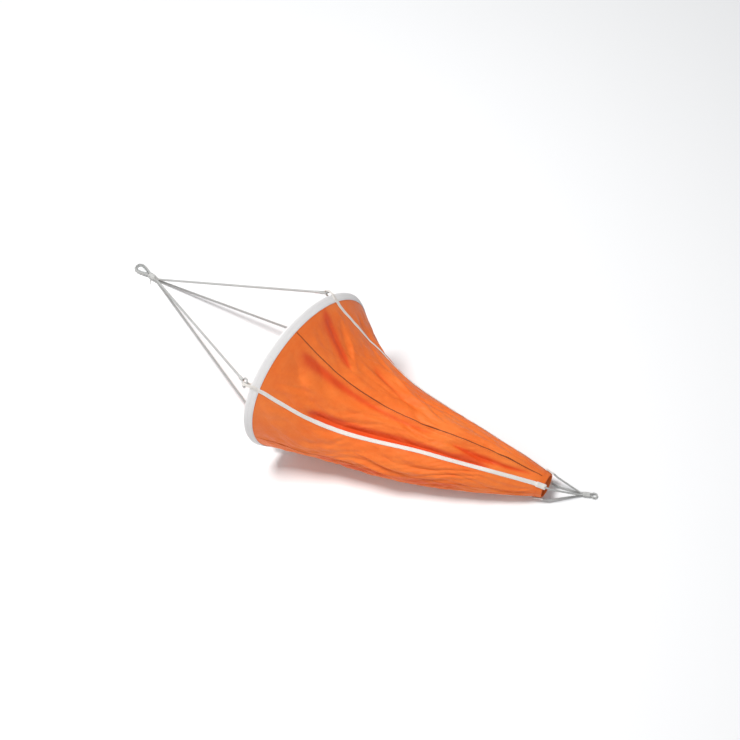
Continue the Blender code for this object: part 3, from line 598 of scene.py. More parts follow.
def cord_path(k):
    """A tail cord's line, from inside its pad to inside the whipping."""
    front, back, side = tail_frame()
    lift = RIM_LIFT + TAPE + GAP + PAD / 2 + 0.0004
    rear = 1.0 + PAD_PAST / CONE_LENGTH
    start = cone(rear - 0.006 / CONE_LENGTH, TAPE_AT_TAIL[k], lift)
    end = cone(rear, TAPE_AT_TAIL[k], lift)
    second = cone(rear + 0.014 / CONE_LENGTH, TAPE_AT_TAIL[k], lift)
    into = front + bunch(k, CORD_RADIUS + 0.0005, side)
    away = front + bunch(k, CORD_RADIUS + 0.0030, side) - 0.016 * back
    span = [second + (away - second) * share for share in (0.0, 0.18, 0.52, 1.0)]
    route = [start, end, (end + second) / 2] + span + [into - 0.007 * back, into + RUN_IN * back]
    return smooth_path(route, 0.001)


# ---- shader maths -------------------------------------------------------------------------------


class Wire:
    """One output socket. Sums, products and powers of wires and numbers add their Math nodes."""

    def __init__(self, shop, socket):
        self.shop, self.socket = shop, socket

    def _math(self, operation, *values):
        return self.shop.add("ShaderNodeMath", {"operation": operation}, dict(enumerate(values)))

    def __add__(self, other):
        return self._math("ADD", self, other)

    def __radd__(self, other):
        return self._math("ADD", other, self)

    def __sub__(self, other):
        return self._math("SUBTRACT", self, other)

    def __rsub__(self, other):
        return self._math("SUBTRACT", other, self)

    def __mul__(self, other):
        return self._math("MULTIPLY", self, other)

    def __rmul__(self, other):
        return self._math("MULTIPLY", other, self)

    def sine(self):
        """Sine of the value, in radians."""
        return self._math("SINE", self)

    def size(self):
        """The value without its sign."""
        return self._math("ABSOLUTE", self)

    def least(self, other):
        """The smaller of two values."""
        return self._math("MINIMUM", self, other)

    def most(self, other):
        """The larger of two values."""
        return self._math("MAXIMUM", self, other)

    def step(self, low, high):
        """0 below low, 1 above high, eased between."""
        settings = {"interpolation_type": "SMOOTHSTEP"}
        values = {"Value": self, "From Min": low, "From Max": high}
        return self.shop.add("ShaderNodeMapRange", settings, values)


class Finish:
    """A material and its nodes."""

    def __init__(self, name, roughness, metallic=0.0, coat=0.0, coat_roughness=0.3, sheen=0.0, specular=0.5):
        self.made = bpy.data.materials.new(name)
        self.made.use_nodes = True
        self.tree = self.made.node_tree
        self.shader = self.tree.nodes["Principled BSDF"]
        fixed = {
            "Roughness": roughness,
            "Metallic": metallic,
            "Coat Weight": coat,
            "Coat Roughness": coat_roughness,
        }
        fixed.update({"Sheen Weight": sheen, "Specular IOR Level": specular})
        for socket, value in fixed.items():
            self.shader.inputs[socket].default_value = value

    def add(self, kind, settings=None, inputs=None, output=0):
        """One node of that kind: its settings first, then its sockets' values or links."""
        node = self.tree.nodes.new(kind)
        for key, value in (settings or {}).items():
            if key == "stops":
                self.set_stops(node, value)
            else:
                setattr(node, key, value)
        for key, value in (inputs or {}).items():
            if isinstance(value, Wire):
                self.tree.links.new(value.socket, node.inputs[key])
            else:
                node.inputs[key].default_value = value
        return Wire(self, node.outputs[output])

    def set_stops(self, node, stops):
        """A colour ramp's stops, as (place, colour) pairs."""
        ramp = node.color_ramp
        while len(ramp.elements) < len(stops):
            ramp.elements.new(0.5)
        for element, (place, colour) in zip(ramp.elements, stops):
            element.position, element.color = place, colour

    def metres(self):
        """The piece's own UV map, as two wires in metres: along and across."""
        uv = self.add("ShaderNodeUVMap", {"uv_map": "metres"})
        node = self.add("ShaderNodeSeparateXYZ", None, {0: uv}).socket.node
        return Wire(self, node.outputs[0]), Wire(self, node.outputs[1])

    def uv(self, along=1.0, across=1.0):
        """The UV map scaled in each direction, as a vector wire."""
        flat = self.add("ShaderNodeUVMap", {"uv_map": "metres"})
        return self.add("ShaderNodeMapping", None, {"Vector": flat, "Scale": (along, across, 1.0)})

    def place(self, scale=1.0):
        """Object coordinates times a scale, as a vector wire."""
        flat = self.add("ShaderNodeTexCoord", None, None, "Object")
        return self.add("ShaderNodeMapping", None, {"Vector": flat, "Scale": (scale, scale, scale)})

    def noise(self, vector, scale, detail=3.0, rough=0.5, distortion=0.0):
        """Noise of about 0 to 1, its middle at one half."""
        sizes = {
            "Vector": vector,
            "Scale": scale,
            "Detail": detail,
            "Roughness": rough,
            "Distortion": distortion,
        }
        return self.add("ShaderNodeTexNoise", None, sizes)

    def blend(self, share, first, second):
        """A colour between two colours."""
        node = self.add("ShaderNodeMix", {"data_type": "RGBA"}, {0: share, 6: first, 7: second}).socket.node
        return Wire(self, node.outputs[2])

    def feed(self, socket, wire):
        """Joins a wire to one of the shader's own sockets."""
        self.tree.links.new(wire.socket, self.shader.inputs[socket])

    def relief(self, height, distance, strength=1.0):
        """Bump from a height wire, which is 0 to 1 over the distance in metres."""
        values = {"Height": height, "Distance": distance, "Strength": strength}
        bump = self.add("ShaderNodeBump", None, values)
        self.feed("Normal", bump)


def rgba(colour, times=1.0):
    """A colour with its alpha, made lighter or darker."""
    return (*[min(1.0, float(c) * times) for c in colour], 1.0)


def coated_cloth(name, colour, painted_lit_cloth, strength, seam=0.0):
    """Proofed nylon: a fine plain weave, a thin coat that goes dull where it creases, painted light in random
    patches and on the creases, painted shade in the fold grooves and along the seams' edges.
    """
    f = Finish(name, 0.50, coat=0.08, coat_roughness=0.35, specular=0.28)
    u, v = f.metres()
    weave = (u * 4200.0).sine() * (v * 4200.0).sine()
    rip = ((u * 785.0).sine().step(0.93, 1.0)).most((v * 785.0).sine().step(0.93, 1.0))
    patches = f.noise(f.place(), 5.0, 4.0, 0.55)
    crumple = f.noise(f.place(), 34.0, 5.0, 0.62, 0.6)
    cells = {"Vector": f.place(), "Scale": 26.0}
    creases = f.add("ShaderNodeTexVoronoi", {"feature": "DISTANCE_TO_EDGE"}, cells)
    creased = 1.0 - creases.step(0.0, 0.06)
    # The shade mask lays the painted lit copy of the cloth in random patches.
    shade = (patches.step(0.35, 0.70) * 0.6 + crumple.step(0.30, 0.75) * 0.4).least(1.0)
    # Painted shade: the hollow attribute turns the cloth a deeper, darker red in the fold grooves.
    groove_painted_shade = f.add("ShaderNodeAttribute", {"attribute_name": "hollow"}, None, "Fac")
    base = f.blend(shade, rgba(colour), rgba(painted_lit_cloth))
    base = f.blend(groove_painted_shade * 0.85, base, (colour[0] * 0.86, colour[1] * 0.38, colour[2] * 0.35, 1.0))
    # Painted highlight: the crease lines are lightened to 1.12 times the lit copy of the cloth.
    base = f.blend(creased * crumple.step(0.45, 0.75) * 0.22, base, rgba(painted_lit_cloth, 1.12))
    base = f.blend(rip * 0.10, base, rgba(colour, 0.80))
    # Painted shadow: the cloth darkens beside the seam's edge, where the felled flap shades it.
    edge = (1.0 - v.step(0.0014, 0.0036)) * seam
    f.feed("Base Color", f.blend(edge, base, (0.10, 0.018, 0.006, 1.0)))
    f.feed("Roughness", 0.42 + crumple * 0.16 + creased * 0.08)
    f.feed("Coat Weight", 0.10 - creased * 0.06)
    height = weave * 0.10 + rip * 0.14 + crumple * 1.0 + creased * crumple * 0.35
    f.relief(height, 0.0016, strength)
    return f.made


def woven_tape(name, colour, rib, soil=0.12):
    """Polyester webbing: ribs across, warp ends along, a little soil in patches, and painted shade in the low
    parts of the weave.
    """
    f = Finish(name, 0.62, sheen=0.15, specular=0.35)
    u, v = f.metres()
    across = (u * (FULL_TURN / rib)).sine()
    ends = (v * (FULL_TURN / (rib * 0.7)) + across * 0.9).sine()
    hair = f.noise(f.place(), 900.0, 2.0)
    dirt = f.noise(f.place(), 14.0, 5.0, 0.6)
    # Painted shade: the low parts of the weave are darkened. The dirt noise adds real soil in patches.
    low = 1.0 - (across * 0.5 + 0.5) * (ends * 0.5 + 0.5)
    dirt_and_shade = (dirt.step(0.45, 0.75) * soil + low * 0.10).least(1.0)
    f.feed("Base Color", f.blend(dirt_and_shade, rgba(colour), rgba(colour, 0.62)))
    f.feed("Roughness", 0.55 + low * 0.2)
    f.relief(across * 0.35 + ends * 0.35 + hair * 0.3, 0.00035)
    return f.made


def rope_yarn(name, colour, dark, yarn):
    """Laid rope: yarns slanting against the strands, a few broken fibres, painted shade in the hollows
    between the yarns, and soil in patches.
    """
    f = Finish(name, 0.78, sheen=0.25, specular=0.25)
    u, v = f.metres()
    yarns = (u * (FULL_TURN / (yarn * 1.9)) + v * (FULL_TURN / yarn)).sine()
    fibre = f.noise(f.uv(240.0, 1100.0), 1.0, 3.0, 0.6)
    soil = f.noise(f.place(), 22.0, 5.0, 0.65)
    fuzz = f.noise(f.place(), 700.0, 3.0, 0.7)
    # Mask towards the rope's shaded colour: painted shade between the yarns, real soil in patches, and fibre
    # tone.
    dirt_and_shade = ((1.0 - (yarns * 0.5 + 0.5)) * 0.30 + soil.step(0.40, 0.72) * 0.38 + fibre * 0.18).least(1.0)
    f.feed("Base Color", f.blend(dirt_and_shade, rgba(colour), rgba(dark)))
    f.feed("Roughness", 0.70 + soil * 0.18)
    f.relief(yarns * 0.5 + fibre * 0.3 + fuzz * 0.35, 0.0006)
    return f.made


def waxed_twine(name, colour, dark):
    """Whipping twine: fine plies along each turn, wax shine on the crowns, dirt in patches and painted shade
    between the plies.
    """
    f = Finish(name, 0.55, coat=0.10, coat_roughness=0.4, specular=0.4)
    u, v = f.metres()
    plies = (v * 5200.0 + u * 2600.0).sine()
    soil = f.noise(f.place(), 60.0, 5.0, 0.6)
    fuzz = f.noise(f.place(), 900.0, 3.0, 0.6)
    # Painted shade between the plies and real dirt in patches, both towards a darker copy of the rope's
    # shaded colour.
    dirt_and_shade = (soil.step(0.38, 0.70) * 0.55 + (1.0 - (plies * 0.5 + 0.5)) * 0.22).least(1.0)
    f.feed("Base Color", f.blend(dirt_and_shade, rgba(colour), rgba(dark)))
    f.feed("Roughness", 0.45 + soil * 0.25)
    f.relief(plies * 0.4 + fuzz * 0.4, 0.0003)
    return f.made


def galvanised(name, colour):
    """Dull zinc: crystal patches of different shine, fine grain, and brighter rubbed spots."""
    f = Finish(name, 0.45, metallic=1.0)
    cells = f.add("ShaderNodeTexVoronoi", {"feature": "F1"}, {"Vector": f.place(), "Scale": 260.0}, "Color")
    patch = f.add("ShaderNodeSeparateXYZ", None, {0: cells})
    grain = f.noise(f.place(), 700.0, 4.0, 0.6)
    rub = f.noise(f.place(), 90.0, 3.0, 0.5).step(0.52, 0.70)
    tone = f.blend((patch * 0.35 + grain * 0.25).least(1.0), rgba(colour, 1.05), rgba(colour, 0.62))
    f.feed("Base Color", f.blend(rub * 0.5, tone, rgba(colour, 1.25)))
    f.feed("Roughness", 0.36 + patch * 0.22 - rub * 0.10)
    f.relief(grain * 0.6 + patch * 0.4, 0.0002)
    return f.made


def thread(name, colour):
    """Bonded sewing thread: a twist of fine plies with a soft shine."""
    f = Finish(name, 0.50, sheen=0.2)
    twist = f.noise(f.place(), 1500.0, 2.0)
    f.feed("Base Color", f.blend(twist, rgba(colour), rgba(colour, 0.72)))
    f.relief(twist, 0.0002)
    return f.made


def moulded(name, colour):
    """Extruded plastic rod: faint drawing lines and a soft shine."""
    f = Finish(name, 0.45)
    line = f.noise(f.place(), 220.0, 2.0)
    f.feed("Base Color", f.blend(line * 0.4, rgba(colour), rgba(colour, 0.7)))
    f.feed("Roughness", 0.40 + line * 0.15)
    return f.made


def studio_floor(name, colour):
    """A plain pale floor with a barely visible grain."""
    f = Finish(name, 0.85, specular=0.1)
    grain = f.noise(f.place(), 3.0, 2.0)
    f.feed("Base Color", f.blend(grain * 0.5, rgba(colour), rgba(colour, 0.985)))
    return f.made


# ---- settings -----------------------------------------------------------------------------------


def colour_setting(name, description, default):
    """A colour that a user can change."""
    return bpy.props.FloatVectorProperty(
        name=name, description=description, subtype="COLOR", size=3, min=0.0, max=1.0, default=default
    )


class ClothSettings(bpy.types.PropertyGroup):
    """Sizes and colours of the cloth."""

    colour: colour_setting("Cloth", "Colour of the proofed cloth", (0.84, 0.150, 0.016))
    # Painted light: the lighter cloth colour is a lit copy of the cloth colour, not a worn coat. The cloth is
    # mixed towards it in random patches and along the creases.
    painted_lit_cloth: colour_setting("Lighter cloth", "Colour where the coat is worn and bright", (0.90, 0.215, 0.036))
    wrinkles: bpy.props.FloatProperty(
        name="Wrinkles", description="Height of the small wrinkles, as a share",
        subtype="FACTOR", default=1.0, min=0.0, max=2.0,
    )
    crumple: bpy.props.FloatProperty(
        name="Crumple", description="Strength of the finest creases",
        subtype="FACTOR", default=0.55, min=0.0, max=1.0,
    )
    stitch: bpy.props.FloatProperty(
        name="Stitch pitch", description="Distance from one stitch to the next",
        unit="LENGTH", default=0.0045, min=0.002, max=0.02,
    )


class WebbingSettings(bpy.types.PropertyGroup):
    """Colours of the tapes and the binding."""

    tape: colour_setting("Tape", "Colour of the tapes and loops", (0.93, 0.88, 0.82))
    binding: colour_setting("Binding", "Colour of the rim's binding", (0.93, 0.91, 0.90))
    rib: bpy.props.FloatProperty(
        name="Rib", description="Distance from one rib of the weave to the next",
        unit="LENGTH", default=0.0011, min=0.0005, max=0.005,
    )


class RopeSettings(bpy.types.PropertyGroup):
    """Colours and make of the rope and twine."""

    colour: colour_setting("Rope", "Colour of the clean rope", (0.66, 0.66, 0.64))
    # Painted shade: the soiled rope colour is the rope's shaded copy. It is laid in the hollows between the
    # yarns and also stands for patches of soil.
    rope_shade_and_soil: colour_setting("Soiled rope", "Colour of the rope's hollows", (0.50, 0.50, 0.48))
    metal: colour_setting("Thimble", "Colour of the thimble's zinc", (0.56, 0.57, 0.56))
    twine: bpy.props.FloatProperty(
        name="Twine", description="Thickness of the whipping twine",
        unit="LENGTH", default=0.0016, min=0.0005, max=0.005,
    )


class StudioSettings(bpy.types.PropertyGroup):
    """Floor, light and camera."""

    floor: colour_setting("Floor", "Colour of the floor", (0.90, 0.90, 0.90))
    key: bpy.props.FloatProperty(
        name="Main light", description="Power of the light above",
        unit="POWER", default=244.0, min=0.0,
    )
    fill: bpy.props.FloatProperty(
        name="Fill light", description="Power of the light beside the camera",
        unit="POWER", default=16.0, min=0.0,
    )
    distance: bpy.props.FloatProperty(
        name="Camera distance", description="From the camera to the middle",
        unit="LENGTH", default=5.725, min=1.0,
    )


# ---- the pieces ---------------------------------------------------------------------------------


class SEAANCHOR_OT_cloth(bpy.types.Operator):
    """Sews the four cloth panels with felled seams"""

    bl_idname = "sea_anchor.cloth"
    bl_label = "Cloth panels"

    def execute(self, context):
        """Each panel: rows along the cone; across it, from its own seam to just under the next panel."""
        look = context.scene.sea_anchor_cloth
        # The top seam's panel gets the darkest painted seam shadow.
        fabrics = [
            coated_cloth(f"proofed cloth {n}", look.colour, look.painted_lit_cloth, look.crumple, dark)
            for n, dark in enumerate(PAINTED_SEAM_SHADOW)
        ]
        first, last = 0.0052 / CONE_LENGTH, 1.0 - 0.0052 / CONE_LENGTH
        s = np.linspace(first, last, 360)[:, None]
        share = np.linspace(0.0, 1.0, 126)[None, :]
        sewn = ease((s * CONE_LENGTH - BINDING_WIDTH) / 0.015)
        sewn = sewn * ease(((1.0 - s) * CONE_LENGTH - HEM_WIDTH) / 0.012)
        for k in range(4):
            start = seam_angle(k - 1 if k else 3, s) - (0.0 if k else 360.0)
            stop = seam_angle(k, s) + np.degrees((SEAM_OVERLAP * sewn - GAP / 4.0) / radius(s))
            start = start + np.degrees(GAP / 4.0 / radius(s))
            degrees = start + (stop - start) * share
            gone = np.radians(degrees - start) * radius(s)
            over = SEAM_LIFT * sewn * (1.0 - ease((gone - SEAM_OVERLAP) / 0.004))
            far_edge = np.radians(stop - start) * radius(s) - 0.004
            lower = -0.5 * CLOTH * sewn * ease((gone - far_edge) / 0.004)
            outer = cone(s, degrees, CLOTH + over + lower, folded=True)
            inner = cone(s, degrees, over + lower, folded=True)
            rings = np.concatenate([outer, inner[:, ::-1]], axis=1)
            u = np.repeat(s * CONE_LENGTH, rings.shape[1], 1)
            v = np.concatenate([gone, gone[:, ::-1]], axis=1)
            fabric, uv = fabrics[int(k == 1)], (u, v, 0.0, 0.0)
            panel = skin(f"cloth_panel_{k + 1}", rings, fabric, uv=uv, sharp=70.0, flat_cap=True)
            # Painted shade: how deep each point lies in a fold groove, stored as the hollow attribute that
            # darkens the cloth's red there.
            groove_painted_shade = np.tile(ease(-hollows(s, degrees) / 0.0065), (1, 2))
            groove_painted_shade[:, degrees.shape[1] :] = groove_painted_shade[:, degrees.shape[1] - 1 :: -1]
            keep = panel.data.attributes.new("hollow", "FLOAT", "POINT")
            keep.data.foreach_set("value", groove_painted_shade.astype(np.float32).ravel())
            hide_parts(f"gore_{k + 1}")
            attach(panel, "sock")
            wide, narrow = (float(np.radians(a[i] - b[i]).item() * radius(c))
                            for a, b, i, c in ((stop, start, 0, 0.0), (stop, start, -1, 1.0)))
        return {"FINISHED"}


class SEAANCHOR_OT_seams(bpy.types.Operator):
    """Sews two rows of thread along each felled seam"""

    bl_idname = "sea_anchor.seams"
    bl_label = "Seam stitching"

    def execute(self, context):
        """Two lines of stitches beside each seam's edge; the top seam has the darker thread."""
        look = context.scene.sea_anchor_cloth
        threads = [thread(f"seam thread {n}", colour) for n, colour in enumerate(SEAM_THREADS)]
        s = np.linspace(0.05, 0.962, 700)
        for k in range(4):
            for row, off in enumerate(SEAM_STITCHES):
                degrees = seam_angle(k, s) + np.degrees(off / radius(s))
                name = f"seam_stitches_{k + 1}_{row + 1}"
                high = CLOTH + SEAM_LIFT + STITCH_CLEAR
                made = sewn_line(name, s, degrees, high, look.stitch, threads[int(k == 0)])
                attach(made, "sock")
        return {"FINISHED"}


class SEAANCHOR_OT_rim(bpy.types.Operator):
    """Folds the binding over the rim and sews it, round the hidden hoop"""

    bl_idname = "sea_anchor.rim"
    bl_label = "Rim binding"

    def execute(self, context):
        """The binding's line is carried round the rim; its edge puckers a little between stitches."""
        look = context.scene.sea_anchor_webbing
        white = woven_tape("binding tape", look.binding, look.rib, 0.05)
        low, near = -HOOP_RADIUS - GAP, HOOP_RADIUS + 3.2 * GAP
        wrap = np.radians(np.linspace(75.0, 285.0, 22))
        top, under = CLOTH + LAYER, -LAYER
        flat = np.linspace(BINDING_WIDTH, 0.004, 9)

        def line(out):
            upper = np.stack([flat, np.full(9, top + out)], -1)
            knee = np.array([[0.0015, top + out], [-0.0008, top + out * 0.9]])
            turn = np.stack([(near + out) * np.cos(wrap), low + (near + out) * np.sin(wrap)], -1)
            turn = turn[turn[:, 1] < top + out - 0.0006]
            lower = np.stack([flat[::-1][2:], np.full(7, under - out)], -1)
            return np.concatenate([upper, knee, turn, lower])

        outside, inside = line(BINDING), line(0.0)
        profile = np.concatenate([outside, inside[::-1]])
        degrees = np.linspace(0.0, 360.0, 480, endpoint=False)
        shares = profile[None, :, 0] / CONE_LENGTH
        arc = np.radians(degrees[:, None]) * MOUTH_RADIUS
        pucker = 0.00022 * np.sin(arc * 2.0 * np.pi / 0.009) * ease((profile[None, :, 0] - 0.006) / 0.010)
        rings = cone(shares, degrees[:, None], profile[None, :, 1] + pucker * (profile[None, :, 1] > 0.0))
        gone = np.concatenate([[0.0], np.cumsum(np.linalg.norm(np.diff(profile, axis=0), axis=1))])
        u = np.repeat(arc, len(profile), 1)
        v = np.repeat(gone[None, :], len(degrees), 0)
        binding = skin("rim_binding", rings, white, True, (u, v, 0.0, 2 * np.pi * MOUTH_RADIUS), 60.0)
        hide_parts("mouth_binding")
        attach(binding, "sock")
        pale = thread("white thread", (0.80, 0.78, 0.75))
        turn = np.linspace(0.0, 360.0, 1500)
        for row, at in enumerate(BINDING_STITCHES):
            share = np.full(turn.shape, at / CONE_LENGTH)
            name, high = f"binding_stitches_{row + 1}", RIM_HEIGHT + STITCH_CLEAR
            made = sewn_line(name, share, turn, high, BINDING_STITCH, pale, False)
            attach(made, "sock")
        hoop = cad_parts["mouth_hoop"]
        hoop.data.materials.clear()
        hoop.data.materials.append(moulded("hoop rod", (0.30, 0.31, 0.32)))
        return {"FINISHED"}


class SEAANCHOR_OT_hem(bpy.types.Operator):
    """Folds and sews the hem of the small opening"""

    bl_idname = "sea_anchor.hem"
    bl_label = "Tail hem"

    def execute(self, context):
        """A flattened loop of cloth carried round the small opening, rounded over its end."""
        look = context.scene.sea_anchor_cloth
        fabric = coated_cloth("hem cloth", [c * 0.97 for c in look.colour], look.painted_lit_cloth, look.crumple)
        top, under = CLOTH + GAP, -GAP
        flat = np.linspace(-HEM_WIDTH, -0.0012, 9)
        nose = np.radians(np.linspace(90.0, -90.0, 9))[1:-1]
        mid, tall = (top + under) / 2.0, (top - under) / 2.0

        def line(out):
            upper = np.stack([flat, np.full(9, top + out)], -1)
            end = np.stack([GAP + out * np.cos(nose) - 0.0004, mid + (tall + out) * np.sin(nose)], -1)
            return np.concatenate([upper, end, np.stack([flat[::-1], np.full(9, under - out)], -1)])

        profile = np.concatenate([line(CLOTH), line(0.0)[::-1]])
        degrees = np.linspace(0.0, 360.0, 160, endpoint=False)
        arc = np.radians(degrees[:, None]) * TAIL_RADIUS
        rings = cone(1.0 + profile[None, :, 0] / CONE_LENGTH, degrees[:, None], profile[None, :, 1])
        gone = np.concatenate([[0.0], np.cumsum(np.linalg.norm(np.diff(profile, axis=0), axis=1))])
        u, v = np.repeat(arc, len(profile), 1), np.repeat(gone[None, :], len(degrees), 0)
        hem = skin("small_hem", rings, fabric, True, (u, v, 0.0, 2 * np.pi * TAIL_RADIUS), 60.0)
        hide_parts("tail_hem")
        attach(hem, "sock")
        turn = np.linspace(0.0, 360.0, 600)
        share = np.full(turn.shape, 1.0 - 0.0145 / CONE_LENGTH)
        orange = thread("hem thread", [c * 0.86 for c in look.colour])
        made = sewn_line("hem_stitches", share, turn, CLOTH * 2 + GAP + 0.0001, 0.0042, orange, False)
        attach(made, "sock")
        return {"FINISHED"}


class SEAANCHOR_OT_tapes(bpy.types.Operator):
    """Sews the four tapes along the cone and the doubled pads that end them"""

    bl_idname = "sea_anchor.tapes"
    bl_label = "Tapes and pads"

    def execute(self, context):
        """A crowned webbing section follows the cloth's folds; a pad swells where a cord is sewn in it."""
        look = context.scene.sea_anchor_webbing
        white = woven_tape("sewn tape", look.tape, look.rib)
        pale = thread("tape thread", (0.78, 0.75, 0.71))
        s = np.concatenate([[0.0015 / CONE_LENGTH], np.linspace(0.0052 / CONE_LENGTH, 1.0, 560)])
        rim = 1.0 - ease((s * CONE_LENGTH - BINDING_WIDTH - 0.0013) / 0.0087)
        hem = ease(((s - 1.0) * CONE_LENGTH + HEM_WIDTH + 0.0133) / 0.0087)
        low = TAPE_LIFT + (RIM_LIFT - TAPE_LIFT) * np.maximum(rim, hem)
        t = 1.0 + np.linspace(-HEM_WIDTH - 0.0046, PAD_PAST, 40) / CONE_LENGTH
        for k in range(4):
            middle = tape_angle(k, s)
            tape = webbing(f"sewn_tape_{k + 1}", s, middle, low, TAPE_WIDTH, TAPE, white, 0.012)
            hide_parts(f"tape_{k + 1}")
            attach(tape, "sock")
            for row, side in enumerate((-1.0, 1.0)):
                degrees = middle + side * np.degrees((TAPE_WIDTH / 2.0 - 0.0022) / radius(s))
                name = f"tape_stitches_{k + 1}_{row + 1}"
                keep = (s > 0.036) & (s < 0.962)
                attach(sewn_line(name, s[keep], degrees[keep], TAPE_LIFT + TAPE, TAPE_STITCH, pale), "sock")
            self.pad(k, t, white, pale)
        return {"FINISHED"}

    def pad(self, k, t, white, pale):
        """Two plies of tape with a cord's end between them: the crown rises to the cord's thickness."""
        x = np.linspace(-1.0, 1.0, 21)
        at = (t - 1.0) * CONE_LENGTH
        swell = ease((at + 0.006) / 0.012)[:, None]
        nose = np.sqrt(np.clip(1.0 - ((at - PAD_PAST + 0.004) / 0.004).clip(0.0) ** 2, 0.04, 1.0))[:, None]
        start = np.sqrt(np.clip(1.0 - ((at[0] + 0.003 - at) / 0.003).clip(0.0) ** 2, 0.09, 1.0))[:, None]
        bump = np.exp(-((x[None, :] * PAD_WIDTH / 2.0 / 0.0040) ** 2))
        crown = (PAD * 0.80 * (1.0 - 0.5 * np.abs(x[None, :]) ** 6) + 0.0026 * bump * swell) * nose * start
        lows = RIM_LIFT + TAPE + GAP
        half = (PAD_WIDTH / 2.0) * (0.80 + 0.20 * nose) * (0.9 + 0.1 * start)
        spread = np.degrees(x[None, :] * half / radius(t)[:, None])
        top = cone(t[:, None], TAPE_AT_TAIL[k] + spread, lows + crown)
        under = cone(t[:, None], TAPE_AT_TAIL[k] + spread[:, ::-1], np.full_like(crown, lows))
        rings = np.concatenate([top, under], axis=1)
        u = np.repeat(at[:, None], rings.shape[1], 1)
        v = np.repeat(np.concatenate([x, x[::-1]])[None, :] * PAD_WIDTH / 2.0, len(t), 0)
        pad = skin(f"sewn_pad_{k + 1}", rings, white, uv=(u, v, 0.0, 0.0), sharp=50.0, flat_cap=True)
        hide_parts(f"tail_pad_{k + 1}")
        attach(pad, "sock")
        fine = np.linspace(-HEM_WIDTH - 0.0015, -0.002, 60)
        box = 1.0 + np.concatenate([fine, fine[::-1]]) / CONE_LENGTH
        side = np.repeat([-1.0, 1.0], 60) * np.degrees(0.0062 / radius(box))
        high = lows + PAD * 0.80 * (1.0 - 0.5 * (0.0062 / (PAD_WIDTH / 2.0)) ** 6)
        name, turn = f"pad_stitches_{k + 1}", TAPE_AT_TAIL[k] + side
        made = sewn_line(name, box, turn, high, PAD_STITCH, pale, False, 0.0024)
        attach(made, "sock")


class SEAANCHOR_OT_beckets(bpy.types.Operator):
    """Folds the four webbing loops round the rim"""

    bl_idname = "sea_anchor.beckets"
    bl_label = "Webbing loops"

    def execute(self, context):
        """A line along the outside, a half ellipse in front and back inside, given width round the rim."""
        look = context.scene.sea_anchor_webbing
        white = woven_tape("loop webbing", look.tape, look.rib, 0.2)
        pale = thread("loop thread", (0.78, 0.75, 0.71))
        x = np.linspace(-1.0, 1.0, 7)
        for k in range(4):
            outer, inner = self.outline(0.0), self.outline(BECKET)
            degrees = TAPE_AT_MOUTH[k] + np.degrees(BECKET_WIDTH / 2.0 / MOUTH_RADIUS) * x[None, :]
            soft = 0.12 * BECKET * np.abs(x[None, :]) ** 6
            outside = cone(outer[:, :1] / CONE_LENGTH, degrees, outer[:, 1:] - soft * np.sign(outer[:, 1:]))
            inside = cone(inner[:, :1] / CONE_LENGTH, degrees[:, ::-1], inner[:, 1:])
            rings = np.concatenate([outside, inside], axis=1)
            gone = np.concatenate([[0.0], np.cumsum(np.linalg.norm(np.diff(outer, axis=0), axis=1))])
            u = np.repeat(gone[:, None], rings.shape[1], 1)
            v = np.repeat(np.concatenate([x, x[::-1]])[None, :] * BECKET_WIDTH / 2.0, len(gone), 0)
            loop = skin(f"rim_loop_{k + 1}", rings, white, uv=(u, v, 0.0, 0.0), sharp=50.0, flat_cap=True)
            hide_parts(f"becket_{k + 1}")
            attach(loop, "sock")
            zigzag = np.linspace(0.001, 0.0125, 50) / CONE_LENGTH
            side = np.degrees(0.0034 / MOUTH_RADIUS) * np.sign(np.sin(np.arange(50) * 0.9))
            high = RIM_LIFT + TAPE + GAP + BECKET
            name = f"loop_stitches_{k + 1}"
            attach(sewn_line(name, zigzag, TAPE_AT_MOUTH[k] + side, high, LOOP_STITCH, pale, False), "sock")
        return {"FINISHED"}

    def outline(self, inset):
        """The folded webbing's line, moved in by inset."""
        high, low = RIM_LIFT + TAPE + GAP + BECKET - inset, BECKET_UNDER + inset
        mid, tall, front = (high + low) / 2.0, (high - low) / 2.0, BECKET_REACH - 0.012 - inset
        back = np.linspace(0.0138, -0.010, 12)
        turn = np.radians(np.linspace(80.0, -80.0, 17))
        bend = np.stack([-0.012 - front * np.cos(turn), mid + tall * np.sin(turn)], -1)
        under = np.linspace(-0.010, 0.004, 6)
        above, below = np.stack([back, np.full(12, high)], -1), np.stack([under, np.full(6, low)], -1)
        return np.concatenate([above, bend, below])


